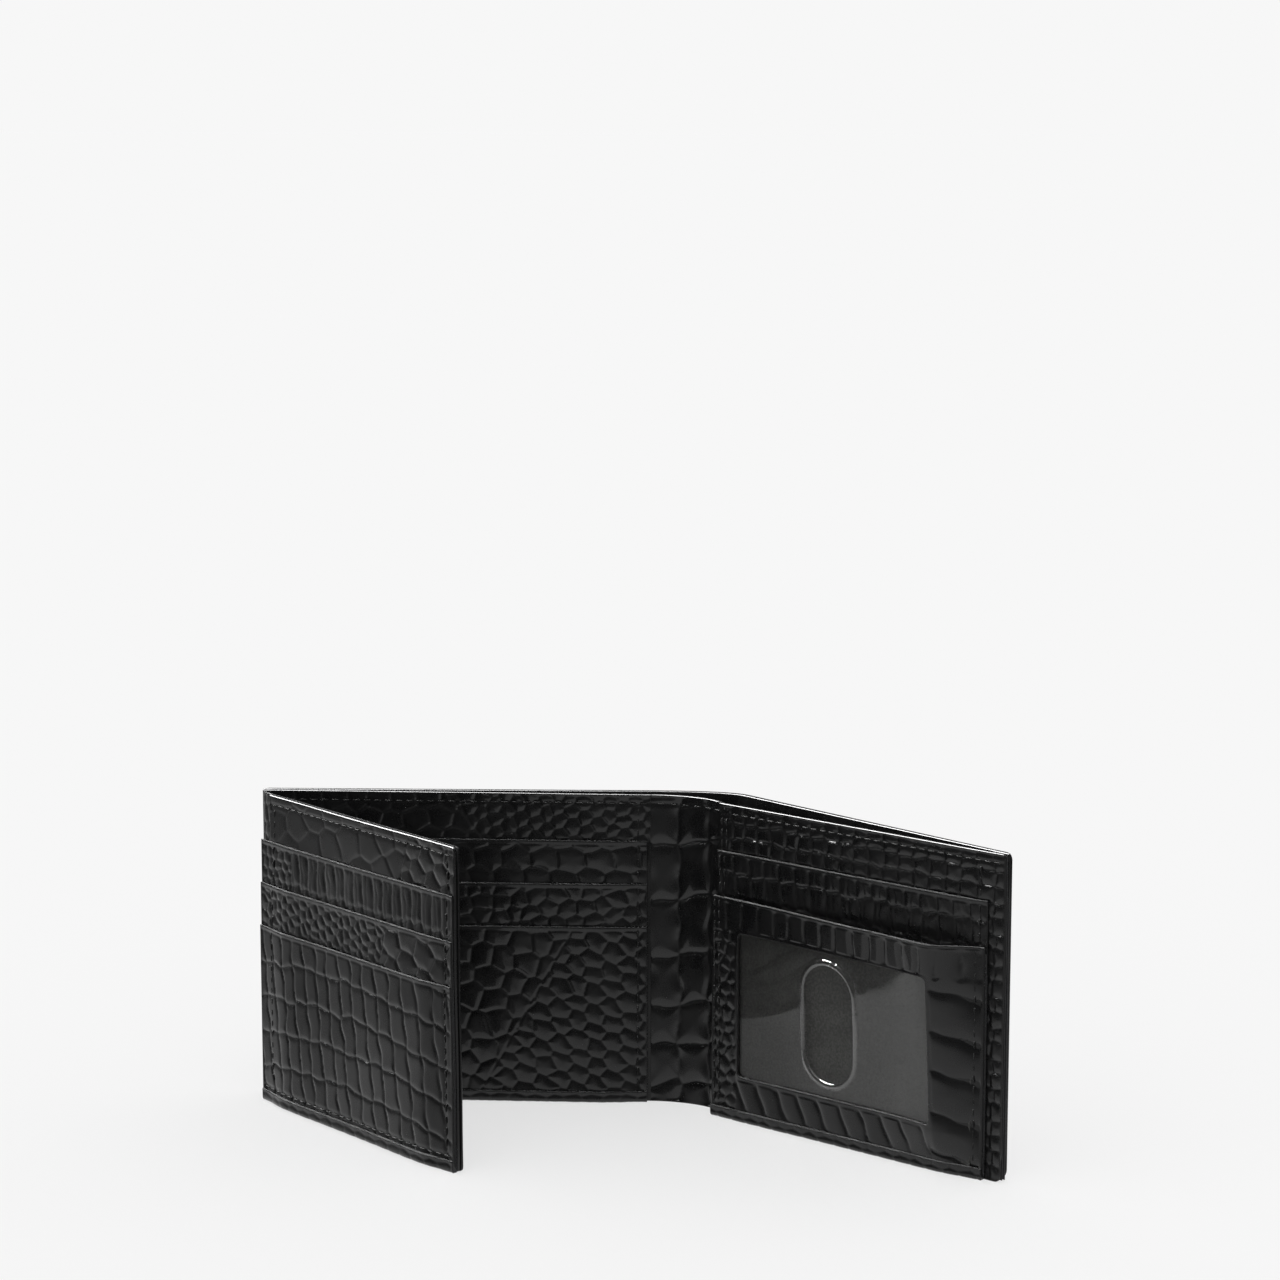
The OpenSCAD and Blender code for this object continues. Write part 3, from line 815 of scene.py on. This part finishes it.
def hem(name, node, body):
    """The strip turned up under the pockets: a flat run, a round turn and a front."""
    panel, bow = LEAVES[body]
    low, high = panel.span(node)
    run = high[1] - low[1] - HEM_TURN
    turn = HEM_TURN * math.pi / 2
    us = graded(low[0], high[0], FINE)
    length = run + turn + HEM_H - HEM_TURN
    ws = graded(0, length, FINE)

    def surface(u, s):
        angle = np.clip((s - run) / HEM_TURN, 0, math.pi / 2)
        v = high[1] - np.minimum(s, run) - HEM_TURN * np.sin(angle)
        w = HEM_TURN * (1 - np.cos(angle)) + np.maximum(s - run - turn, 0)
        return panel.at(u, pressed(body, v, u) + bow(u, w * 0), w)

    thickness = pressed(body, low[1] + HEM_T, us) - pressed(body, low[1], us)
    piece = leather(name, us, ws, surface, thickness, HEM_SCALES, fade=0.6, raw=True)
    finish_piece(piece, INNER, body, [node])


POCKETS = ("upper", "middle", "front")
FOOT_HIDDEN = 2.0
FRAME_COVER = 6.0
WING_SEAM_IN = 3.2
WING_FOOT_ROW = 4.6
WING_CORNERS = {"tr": 1.2, "br": 1.5}


def pocket_tops(side, body):
    """Heights of the mouths of a leaf's three card pockets, from the back one on."""
    panel = LEAVES[body][0]
    return [panel.span(f"{side}_pocket_{place}")[1][2] for place in POCKETS]


def card_pockets(side, body, sides, fields, foot_row=()):
    """Three card pockets, one behind another, each shown down to the next one's mouth."""
    tops = pocket_tops(side, body)
    shown = [tops[1] - UNDERLAP, tops[2] - UNDERLAP, FOOT_HIDDEN]
    for place, field, shown_from in zip(POCKETS, fields, shown):
        seams = [*sides, *foot_row] if place == "front" else sides
        ply(f"{side}_{place}_pocket", f"{side}_pocket_{place}", body, field, shown_from,
            mouth=True, seams=seams)


def make_left_panel():
    edge = left.span("left_pocket_front")[1][0]
    ply("left_inner_leather", "liner_left", "left_panel", LEFT_TOP_SCALES,
        pocket_tops("left", "left_panel")[0] - UNDERLAP, seams=[("w", TOP_ROW)])
    card_pockets("left", "left_panel", [("u", edge - SEAM_IN)],
                 (LEFT_UPPER_SCALES, LEFT_MIDDLE_SCALES, LEFT_FRONT_SCALES))
    hem("left_hem", "left_bottom_hem", "left_panel")


def make_right_panel():
    ply("right_inner_leather", "liner_right", "right_panel", RIGHT_TOP_SCALES,
        seams=[("w", TOP_ROW)], radii={"br": 2.0, "tr": 1.0})
    ply("right_upper_pocket", "right_card_pocket", "right_panel", RIGHT_CARD_SCALES,
        FRAME_HIGH[2] - FRAME_COVER, mouth=True, seams=[("u", FRAME_HIGH[0] - SEAM_IN)])
    hem("right_hem", "right_bottom_hem", "right_panel")


def make_wing():
    sides = [("u", WING_W - WING_SEAM_IN)]
    ply("wing_inner_leather", "wing_liner", "wing", WING_TOP_SCALES,
        pocket_tops("wing", "wing")[0] - UNDERLAP, seams=[("w", TOP_ROW), *sides],
        radii=WING_CORNERS, edge_round=0.5)
    card_pockets("wing", "wing", sides,
                 (WING_UPPER_SCALES, WING_MIDDLE_SCALES, WING_FRONT_SCALES),
                 [("w", WING_FOOT_ROW)])
    hem("wing_hem", "wing_bottom_hem", "wing")
    low, high = wing.span("wing_back")

    def back_face(u, w):
        return wing.at(u, high[1] + np.maximum(wing_bow(u, w), -0.1), w)

    piece = leather("wing_outer_leather", graded(low[0], high[0], 0.5), graded(0, PANEL_H, 0.5),
                    back_face, high[1] - low[1], BACK_SCALES, flip=True, radii=WING_CORNERS)
    finish_piece(piece, OUTER, "wing", ["wing_back"])


# ---------------------------------------------------------------- spine and hinge strip


def bezier(points, t):
    """A curve through plan points, with one or two control points between its ends."""
    t = np.asarray(t)[..., None]
    while len(points) > 1:
        points = [a + (b - a) * t for a, b in zip(points[:-1], points[1:])]
    return points[0]


def by_length(curve, samples=400):
    """Turns a curve of t from 0 to 1 into one of its own length in mm, and that length."""
    t = np.linspace(0, 1, samples)
    points = curve(t)
    run = np.concatenate([[0], np.cumsum(np.linalg.norm(np.diff(points, axis=0), axis=1))])
    return lambda s: np.stack([np.interp(s, run, points[:, k]) for k in (0, 1)], axis=-1), run[-1]


def upright(plan, w):
    plan = np.broadcast_to(plan, (*w.shape, 2))
    return np.concatenate([plan, w[..., None]], axis=-1)


SPINE_ENDS = [left.plan(LEFT_W - 0.9, 0.0), left.plan(LEFT_W + 10.2, 0.15),
              right.plan(-1.8, 3.1), right.plan(1.4, 0.0)]
spine_curve, SPINE_LENGTH = by_length(lambda t: bezier([np.array(p) for p in SPINE_ENDS], t))


def crossing(piece, body_a, body_b, panel, u_start, u_end):
    """Bakes a piece's placement into its mesh; the two bodies, the panel and the two places it is
    given change nothing.
    """
    start = panel.at(u_start, 0, 0) * MM
    end = panel.at(u_end, 0, 0) * MM
    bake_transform(piece)


SPINE_T = 0.7
STRIP_T = 0.6
SPINE_HALVES = {
    "left": (0, SPINE_LENGTH / 2, ("left_panel", "spine", left, LEFT_W - 2, LEFT_W + 7)),
    "right": (SPINE_LENGTH / 2, SPINE_LENGTH, ("spine", "right_panel", right, -8, 1.5)),
}


def make_spine_inner():
    for side, (low, high, bend) in SPINE_HALVES.items():
        piece = leather(f"spine_inner_{side}", graded(low, high, FINE),
                        graded(0, PANEL_H, FINE), lambda u, w: upright(spine_curve(u), w),
                        SPINE_T, SPINE_SCALES, seams=[("w", TOP_ROW)], cut=1 if low == 0 else -1)
        finish_piece(piece, INNER, None,
                     ["liner_spine"] if side == "left" else [])
        crossing(piece, *bend)


def make_hinge_strip():
    """The strip that the wing hangs on, in two halves: one at the left panel's
    edge and the other at the fold of the wing."""
    ends = [left.plan(2.5, -0.15), left.plan(-0.6, -0.15), wing.plan(0.4, -0.75),
            wing.plan(STRIP_W + 1.6, -0.75)]
    curve, length = by_length(lambda t: bezier([np.array(p) for p in ends], t))
    turn_back = Panel(left.plan(0, 0), -left.away)
    halves = (
        ("outer", 0, length / 2, ("left_panel", "wing_hinge", turn_back, 0.2, 1.3)),
        ("inner", length / 2, length, ("wing_hinge", "wing", wing, STRIP_W - 1.4, STRIP_W + 1)),
    )
    for side, low, high, bend in halves:
        piece = leather(f"wing_hinge_leather_{side}", graded(low, high, FINE),
                        graded(0, PANEL_H, 0.5), lambda u, w: upright(curve(u), w), STRIP_T,
                        STRIP_SCALES, cut=1 if side == "outer" else -1)
        finish_piece(piece, INNER, None,
                     ["wing_hinge_strip"] if side == "outer" else [])
        crossing(piece, *bend)


# ---------------------------------------------------------------- window pocket

FILM_LOW, FILM_HIGH = right.span("window_film")
FILM_SEAM = 4.0
WINDOW_LOW = np.array([FILM_LOW[0] + FILM_SEAM, FILM_LOW[2] + FILM_SEAM])
WINDOW_HIGH = np.array([FILM_HIGH[0] - FILM_SEAM, FILM_HIGH[2] - FILM_SEAM])


def round_rectangle(low, high, radius, step):
    """An outline that runs the same way and has the same number of points for each
    corner and side, whatever its size."""
    side_counts = [round((WINDOW_HIGH - WINDOW_LOW)[k % 2] / step) for k in range(4)]
    centres = [(high[0] - radius, low[1] + radius), (high[0] - radius, high[1] - radius),
               (low[0] + radius, high[1] - radius), (low[0] + radius, low[1] + radius)]
    points = []
    for k, (x, y) in enumerate(centres):
        angles = np.radians(np.linspace(-90 + 90 * k, 90 * k, 9))
        arc = np.stack([x + radius * np.cos(angles), y + radius * np.sin(angles)], axis=-1)
        after = np.array(centres[(k + 1) % 4])
        turn = np.radians(90 * k)
        begin = after + radius * np.array([math.cos(turn), math.sin(turn)])
        count = side_counts[(k + 1) % 4]
        share = np.linspace(0, 1, count + 1)[1:-1, None]
        points += [arc, arc[-1] + (begin - arc[-1]) * share]
    return np.concatenate(points)


def ring(name, inner, outer, shares, height_of, front_v, thickness, field=None):
    """A bowed sheet with a hole, between an inner and an outer outline in u and w.
    height_of(distance from the hole, distance from the outside) shapes its front."""
    place = inner[None] + (outer - inner)[None] * shares[:, None, None]
    u, w = place[..., 0], place[..., 1]
    span = np.linalg.norm(outer - inner, axis=-1)[None]
    from_hole = span * shares[:, None]
    from_rim = span - from_hole
    height = height_of(from_hole, from_rim)
    groove = np.clip(height / BEAD_HEIGHT, 0, 1)
    if field is not None:
        fade = smooth(np.minimum(from_hole - 0.9, from_rim - 0.5))
        mouth = smooth((FRAME_HIGH[2] - w - PLAIN_MOUTH) / FADE_RUN)
        scales, groove = field.relief(u, w)
        height = height + np.clip(scales, -0.55, RELIEF_TOP) * fade * mouth
        raw = (from_hole < RAW_WIDTH) | (FRAME_HIGH[2] - w < RAW_WIDTH)
        groove = np.maximum(groove * fade, RAW_EDGE * raw)
    front_at = pressed("right_panel", front_v, u)
    back_at = pressed("right_panel", front_v + thickness, u)
    base = right.at(u, front_at + window_bow(u, w), w)
    toward = np.array([-right.away[0], -right.away[1], 0])
    front = base + toward * height[..., None]
    back = base - toward * (back_at - front_at)[..., None]
    piece, kept = skin(name, front, back, wrap=True, kept_step=6)
    mark_leather(piece, kept, u, w, groove, 0.0)
    return piece


def make_window_frame():
    inner = round_rectangle(WINDOW_LOW, WINDOW_HIGH, 1.5, FINE)
    outer = round_rectangle(FRAME_LOW[[0, 2]], FRAME_HIGH[[0, 2]], 0.4, FINE)
    shares = np.concatenate([[0, 0.004, 0.012, 0.024], np.linspace(0.045, 0.955, 32),
                             [0.976, 0.988, 0.996, 1]])

    def height_of(from_hole, from_rim):
        lines = creased_line(from_hole, 1.2, 0.14) + creased_line(from_rim, MOUTH_LINE, 0.1)
        return edge_rounding(from_hole) + edge_rounding(from_rim) - lines

    piece = ring("window_pocket", inner, outer, shares, height_of, FRAME_LOW[1],
                 FRAME_HIGH[1] - FRAME_LOW[1], FrameScales())
    finish_piece(piece, INNER, "right_panel", ["window_frame"])


BEAD_WIDTH = 1.9
BEAD_HEIGHT = 0.7
HOLE_PLACE = (0.48, 0.51)
HOLE_RADIUS = 8.3
HOLE_STRAIGHT = 8.2
FILM_DEPTH = 0.35
FILM_T = 0.3


def make_window_film():
    """Clear film with a thumb hole, whose moulded bead stands proud."""
    low, high = right.span("window_film")
    middle = WINDOW_LOW + (WINDOW_HIGH - WINDOW_LOW) * np.array(HOLE_PLACE)
    box_angles = [math.atan2(y - middle[1], x - middle[0])
                  for x in (low[0], high[0]) for y in (low[2], high[2])]
    angles = np.sort(np.concatenate([np.linspace(-math.pi, math.pi, 240, endpoint=False),
                                     box_angles]))
    inner, outer = [], []
    for angle in angles:
        c, s = math.cos(angle), math.sin(angle)
        side = HOLE_RADIUS / max(abs(c), 1e-9)
        cap = HOLE_STRAIGHT * abs(s) + math.sqrt(
            max(HOLE_RADIUS**2 - (HOLE_STRAIGHT * c) ** 2, 0))
        reach = side if abs(side * s) <= HOLE_STRAIGHT else cap
        inner.append(middle + reach * np.array([c, s]))
        limits = [((high[0] if c > 0 else low[0]) - middle[0]) / c if abs(c) > 1e-9 else 1e9,
                  ((high[2] if s > 0 else low[2]) - middle[1]) / s if abs(s) > 1e-9 else 1e9]
        outer.append(middle + min(limits) * np.array([c, s]))
    inner, outer = np.array(inner), np.array(outer)
    span = np.linalg.norm(outer - inner, axis=-1).mean()
    near = np.linspace(0, 2.4, 15) / span
    shares = np.concatenate([near, np.linspace(near[-1], 1, 22)[1:]])

    def height_of(from_hole, from_rim):
        across = np.clip(2 * from_hole / BEAD_WIDTH - 1, -1, 1)
        return BEAD_HEIGHT * np.sqrt(1 - across**2)

    piece = ring("window_film_sheet", inner, outer, shares, height_of, high[1] - FILM_DEPTH,
                 FILM_T)
    finish_piece(piece, FILM, "right_panel", ["window_film"])


def make_insert():
    """The plain dark paper card behind the film."""
    low, high = right.span("insert_card")
    us, ws = graded(low[0], high[0], 2.0), graded(low[2], high[2], 2.0)
    u, w = rounded(*np.meshgrid(us, ws), {"tl": 1.0, "tr": 1.0, "bl": 1.0, "br": 1.0})
    front, back = right.at(u, low[1], w), right.at(u, high[1], w)
    piece, _ = skin("insert_paper_card", front, back, kept_step=6)
    finish_piece(piece, PAPER, "insert", ["insert_card"])


# ---------------------------------------------------------------- outer shell

SPINE_BELLY = 5.0
SHELL_OFFSET = 1.6
SHELL_T = 1.0
TURNED_OFFSET = 0.02
TURNED_T = 0.55
CLOTH_OFFSET = 0.36
CLOTH_T = 0.2


def near_end(panel, node, w, last):
    """Plan point of a shell sheet's inner face at height w, at its first or last end."""
    points = panel.local(corners(node))
    points = points[abs(points[:, 2] - w) < 0.01]
    edge = points[:, 0].max() if last else points[:, 0].min()
    ends = points[abs(points[:, 0] - edge) < 3]
    return panel.plan(edge, ends[:, 1].min())


def meeting(a, run_a, b, run_b):
    """Where two plan lines cross."""
    across = b - a
    share = (across[0] * run_b[1] - across[1] * run_b[0]) / (
        run_a[0] * run_b[1] - run_a[1] * run_b[0])
    return a + run_a * share


def shell_line(bottom):
    """Inner line of the shell seen from above, at its bottom or top edge."""
    w = 0 if bottom else PANEL_H
    nodes = ("shell_lining_left", "shell_lining_right") if bottom else (
        "shell_facing_left", "shell_facing_right")
    a0, a1 = (near_end(left, nodes[0], w, last) for last in (False, True))
    b0, b1 = (near_end(right, nodes[1], w, last) for last in (False, True))
    corner = meeting(a0, a1 - a0, b1, b0 - b1)
    if bottom:
        corner = spine.plan(SPINE_W / 2, SPINE_BELLY + 1.5)
    return a0, a1, corner, b0, b1


def shell_half(points, first):
    """Curve from an outer edge to the middle of the spine, or from there on."""
    a0, a1, corner, b0, b1 = points

    def curve(t):
        straight_share = 0.9
        if first:
            bend = np.clip((t - straight_share) / (1 - straight_share), 0, 1) * 0.5
            line = np.clip(t / straight_share, 0, 1)[..., None]
            return np.where((t < straight_share)[..., None], a0 + (a1 - a0) * line,
                            bezier([a1, corner, b0], bend))
        start_share = 1 - straight_share
        bend = 0.5 + 0.5 * np.clip(t / start_share, 0, 1)
        line = np.clip((t - start_share) / straight_share, 0, 1)[..., None]
        return np.where((t > start_share)[..., None], b0 + (b1 - b0) * line,
                        bezier([a1, corner, b0], bend))

    return curve


SHELL_BOTTOM = shell_line(True)
SHELL_TOP = shell_line(False)
SHELL_MIDDLE = LEFT_W + SPINE_W / 2
SHELL_END = SHELL_MIDDLE + SPINE_W / 2 + RIGHT_W
SHELL_HALVES = {
    "left": (0, SHELL_MIDDLE, ("left_panel", "spine", left, LEFT_W - 3, LEFT_W + 8)),
    "right": (SHELL_MIDDLE, SHELL_END, ("spine", "right_panel", right, -8, 3)),
}


def shell_surface(low, high, offset):
    first = low == 0
    bottom, top = shell_half(SHELL_BOTTOM, first), shell_half(SHELL_TOP, first)

    def surface(u, w):
        t = np.clip((u - low) / (high - low), 0, 1)
        lower, upper = bottom(t), top(t)
        plan = lower + (upper - lower) * (w / PANEL_H)[..., None]
        step = 0.004
        ahead = bottom(np.clip(t + step, 0, 1)) - bottom(np.clip(t - step, 0, 1))
        ahead_top = top(np.clip(t + step, 0, 1)) - top(np.clip(t - step, 0, 1))
        along = ahead + (ahead_top - ahead) * (w / PANEL_H)[..., None]
        along = along / np.linalg.norm(along, axis=-1, keepdims=True)
        away = np.stack([-along[..., 1], along[..., 0]], axis=-1)
        return upright(plan + away * offset, w)

    return surface


def make_shell():
    facing_low = left.span("shell_facing_left")[0][2]
    for side, (low, high, bend) in SHELL_HALVES.items():
        first = low == 0
        cut = 1 if first else -1

        def stands_for(part):
            return [f"shell_{part}{side}"] + ([f"shell_{part}spine"] if first else [])

        outer = leather(f"shell_outer_{side}", graded(low, high, 0.5), graded(0, PANEL_H, 0.5),
                        shell_surface(low, high, SHELL_OFFSET), SHELL_T, SHELL_SCALES, flip=True,
                        radii={"tl": 1.5, "bl": 1.5} if first else {"tr": 2.0, "br": 3.0},
                        cut=cut)
        finish_piece(outer, OUTER, None, stands_for(""))
        facing = leather(f"shell_turned_edge_{side}", graded(low, high, 0.45),
                         graded(facing_low, PANEL_H, 0.45),
                         shell_surface(low, high, TURNED_OFFSET), TURNED_T, FACING_SCALES,
                         seams=[("w", TOP_ROW)], cut=cut)
        finish_piece(facing, INNER, None, stands_for("facing_"))
        cloth = fabric(f"shell_cloth_{side}", low, high, 0.4, facing_low - 0.1,
                       shell_surface(low, high, CLOTH_OFFSET), CLOTH_T)
        finish_piece(cloth, FABRIC, None, stands_for("lining_"))
        for piece in (outer, facing, cloth):
            crossing(piece, *bend)


def fabric(name, u0, u1, w0, w1, surface, thickness):
    """A thin lining cloth with its front on a surface."""
    columns_across, rows_up = 60, 20
    u, w = np.meshgrid(np.linspace(u0, u1, columns_across), np.linspace(w0, w1, rows_up))
    front = surface(u, w)
    back = front - normals_of(front) * thickness
    return skin(name, front, back, kept_step=1)[0]


def make_linings():
    """Flat cloths inside the panels and behind the covered pockets."""
    rows = (
        ("bill_lining_left", "left_panel", "left_inner_leather"),
        ("left_slot_lining_upper", "left_panel", "left_upper_pocket"),
        ("left_slot_lining_middle", "left_panel", "left_middle_pocket"),
        ("bill_lining_right", "right_panel", "right_inner_leather"),
        ("right_slot_lining", "right_panel", "right_upper_pocket"),
        ("window_backing", "right_panel", "right_upper_pocket"),
        ("wing_slot_lining_upper", "wing", "wing_upper_pocket"),
        ("wing_slot_lining_middle", "wing", "wing_middle_pocket"),
    )
    for node, body, carrier in rows:
        low, high = LEAVES[body][0].span(node)
        surface = front_of(body, low[1])
        cloth = fabric(node + "_cloth", low[0], high[0], low[2], high[2], surface,
                       (high[1] - low[1]) * SQUEEZE)
        finish_piece(cloth, FABRIC, body, [node])


def make_spine_lining():
    """Cloth behind the spine's leather, in two halves."""

    def surface(u, w):
        ahead = spine_curve(np.clip(u + 0.05, 0, SPINE_LENGTH))
        behind = spine_curve(np.clip(u - 0.05, 0, SPINE_LENGTH))
        along = (ahead - behind) / np.linalg.norm(ahead - behind, axis=-1, keepdims=True)
        away = np.stack([-along[..., 1], along[..., 0]], axis=-1)
        return upright(spine_curve(u) + away * (SPINE_T + 0.02), w)

    for side, (low, high, bend) in SPINE_HALVES.items():
        cloth = fabric(f"spine_cloth_{side}", low, high, 0.5, PANEL_H - 0.5, surface, CLOTH_T)
        finish_piece(cloth, FABRIC, None,
                     ["bill_lining_spine"] if side == "left" else [])
        crossing(cloth, *bend)


# ---------------------------------------------------------------- stitches


def islands(node):
    """Corner points of each separate solid in a CAD node."""
    points = corners(node)
    keys, weld = np.unique(np.round(points, 3), axis=0, return_inverse=True)
    parent = list(range(len(keys)))

    def root(i):
        while parent[i] != i:
            i = parent[i]
        return i

    for polygon in frame["nodes"][node].data.polygons:
        first, *others = (root(weld.ravel()[v]) for v in polygon.vertices)
        for other in others:
            parent[root(other)] = root(first)
    groups = {}
    for i in range(len(keys)):
        groups.setdefault(root(i), []).append(keys[i])
    return [np.array(g) for g in groups.values()]


THREAD_R = 0.22
STITCH_LENGTH = 2.3
SEAT_DEPTH = 0.2


def stitch_mesh(centre, along, outward):
    """One twisted stitch that rises from the leather and dips back at both ends."""
    rings, around = 12, 8
    across = np.cross(along, outward)
    t = np.linspace(-1, 1, rings)
    middle = centre + np.outer(t * STITCH_LENGTH / 2, along)
    middle += np.outer(0.16 * (1 - t**2) - 0.2 * t**6 - 0.1, outward)
    radius = THREAD_R * np.sqrt(np.maximum(1 - t**8, 0.12))
    points = []
    for k in range(rings):
        angles = np.linspace(0, 2 * math.pi, around, endpoint=False)
        strand = 1 + 0.12 * np.cos(2 * (angles - 1.1 * k))
        circle = np.outer(np.cos(angles), across) + np.outer(np.sin(angles), outward)
        points.append(middle[k] + radius[k] * strand[:, None] * circle)
    ids = np.arange(rings * around).reshape(rings, around)
    ids = np.concatenate([ids, ids[:, :1]], axis=1)
    caps = [ids[0, :-1].tolist()[::-1], ids[-1, :-1].tolist()]
    return np.concatenate(points), quads(ids) + caps


def sew(name, seats, body, stands_for=()):
    """Joins stitches into one piece. A seat is a stitch's centre and two directions."""
    points, faces = [], []
    for seat in seats:
        mesh_points, mesh_faces = stitch_mesh(*seat)
        first = len(points) * len(mesh_points)
        points.append(mesh_points)
        faces += [[i + first for i in face] for face in mesh_faces]
    piece = mesh_object(name, np.concatenate(points), faces)
    return finish_piece(piece, THREAD, body, stands_for)


def stitches(name, node, body, shift, side=-1):
    """All the stitches of a panel. shift(u, v, w) says how far the leather there lies
    behind the flat CAD face; side is -1 in front of the panel and 1 behind it."""
    panel = LEAVES[body][0]
    away = np.append(panel.away, 0)
    seats = []
    for solid in islands(node):
        centre = solid.mean(axis=0)
        along = np.linalg.svd(solid - centre)[2][0]
        lower = float(shift(*panel.local(centre))) - side * SEAT_DEPTH
        seats.append((centre + away * lower, along, away * side))
    sew(name, seats, body, [node])


def make_stitches():
    def inner_shift(body):
        def shift(u, v, w):
            on_window = body == "right_panel" and v < FRAME_LOW[1] - 0.1
            bow = window_bow if on_window else LEAVES[body][1]
            return bow(u, w) + pressed(body, v, u) - v

        return shift

    for side, body in (("left", "left_panel"), ("wing", "wing"), ("right", "right_panel")):
        stitches(f"{side}_stitches", f"{side}_stitching", body, inner_shift(body))
    for side in ("left", "right"):
        stitches(f"shell_stitches_{side}", f"shell_stitching_{side}", f"{side}_panel",
                 lambda u, v, w: 0.0, side=1)


def make_spine_stitches():
    """The top row runs on over the curved spine, half of it with each half."""
    count = len(islands("spine_stitching"))
    inset = 1.5
    pitch = (SPINE_LENGTH - 2 * inset) / count
    for side, (low, high, bend) in SPINE_HALVES.items():
        seats = []
        for s in inset + (np.arange(count) + 0.5) * pitch:
            ahead = spine_curve(s + 0.2) - spine_curve(s - 0.2)
            along = np.append(ahead / np.linalg.norm(ahead), 0)
            outward = np.array([along[1], -along[0], 0])
            if low < s < high:
                centre = np.append(spine_curve(s), TOP_ROW) - outward * SEAT_DEPTH / 2
                seats.append((centre, along, outward))
        piece = sew(f"spine_stitches_{side}", seats, None,
                    ["spine_stitching"] if side == "left" else [])
        crossing(piece, *bend)


# ---------------------------------------------------------------- camera, light and floor


def make_camera():
    lens, distance = 101.25, 1000.0
    elevation, azimuth = math.radians(9.947), math.radians(3.423)
    target = np.array([51.395, 0.0, 132.868])
    back = np.array([math.sin(azimuth) * math.cos(elevation),
                     -math.cos(azimuth) * math.cos(elevation), math.sin(elevation)])
    data = bpy.data.cameras.new("camera")
    data.lens = lens
    data.sensor_width = 36
    camera = bpy.data.objects.new("camera", data)
    camera.location = (target + back * distance) * MM
    camera.rotation_euler = (math.pi / 2 - elevation, 0, azimuth)
    bpy.context.scene.collection.objects.link(camera)
    bpy.context.scene.camera = camera


WHITE = 0.93
LAMP_DIRECTION = (-0.48, 0.2, 0.854)


def make_world():
    """Soft studio light: even on the floor, and in the gloss of the leather a dim wall
    to the left, a dark room in front, a pale ceiling and one lamp high on the left."""
    world = bpy.data.worlds.new("studio")
    bpy.context.scene.world = world
    world.use_nodes = True
    n = Nodes(world.node_tree)
    direction = n.add("ShaderNodeTexCoord").outputs["Generated"]
    split = n.add("ShaderNodeSeparateXYZ", {0: direction})
    x, y, z = split.outputs
    side_wall = n.ranged(x, -0.4, -0.9, 0.0, 0.11)
    wall = n.maths("MULTIPLY", side_wall, n.ranged(y, -0.3, 0.2, 0.0, 1.0))
    behind = n.ranged(y, 0.25, 0.8, 0.0, 0.22)
    ceiling = n.ranged(z, 0.45, 0.8, 0.0, 0.6)
    toward_lamp = n.add("ShaderNodeVectorMath", {0: direction, 1: LAMP_DIRECTION},
                        operation="DOT_PRODUCT").outputs["Value"]
    lamp = n.ranged(toward_lamp, 0.87, 0.9, 0.0, 24.0)
    ground = n.ranged(z, -0.2, -0.38, 0.0, 0.36)
    room = n.maths("ADD", n.maths("ADD", wall, behind), n.maths("ADD", ceiling, lamp))
    gloss = n.maths("ADD", n.maths("ADD", room, ground), 0.03)
    rays = n.add("ShaderNodeLightPath")
    even_light = n.add("ShaderNodeBackground", {"Color": (1, 1, 1, 1), "Strength": 1.0})
    backdrop = n.add("ShaderNodeBackground", {"Color": (WHITE, WHITE, WHITE, 1)})
    studio = n.add("ShaderNodeBackground", {"Color": (1, 1, 1, 1), "Strength": gloss})
    lit = n.blend(rays.outputs["Is Glossy Ray"], even_light, studio)
    seen = n.blend(rays.outputs["Is Camera Ray"], lit, backdrop)
    n.show(seen, "ShaderNodeOutputWorld")


FLOOR_GLOW = 0.66


def make_floor():
    """A white sweep lit partly from below, which keeps the shadows pale."""
    size = 8.0
    mesh = bpy.data.meshes.new("floor")
    mesh.from_pydata([(-size, -size, 0), (size, -size, 0), (size, size, 0), (-size, size, 0)],
                     [], [(0, 1, 2, 3)])
    floor = bpy.data.objects.new("floor", mesh)
    bpy.context.scene.collection.objects.link(floor)
    material, n = new_material("pale_floor")
    glow = n.add("ShaderNodeEmission", {"Color": (WHITE, WHITE, WHITE, 1)})
    paper = n.add("ShaderNodeBsdfDiffuse", {"Color": (WHITE, WHITE, WHITE, 1)})
    n.show(n.blend(FLOOR_GLOW, paper, glow))
    mesh.materials.append(material)
    floor.visible_glossy = False


# ---------------------------------------------------------------- assembly


def dress_boards():
    """The three stiffening boards stay as CAD nodes, with a material of their own."""
    for name in ("stiffener_left", "stiffener_right", "wing_stiffener"):
        board = frame["nodes"][name]
        board.data.materials.clear()
        board.data.materials.append(BOARD)


bpy.context.scene.view_settings.view_transform = "Standard"
make_camera()
make_left_panel()
make_right_panel()
make_wing()
make_spine_inner()
make_hinge_strip()
make_window_frame()
make_window_film()
make_insert()
make_shell()
make_linings()
make_spine_lining()
make_stitches()
make_spine_stitches()
dress_boards()
make_world()
make_floor()
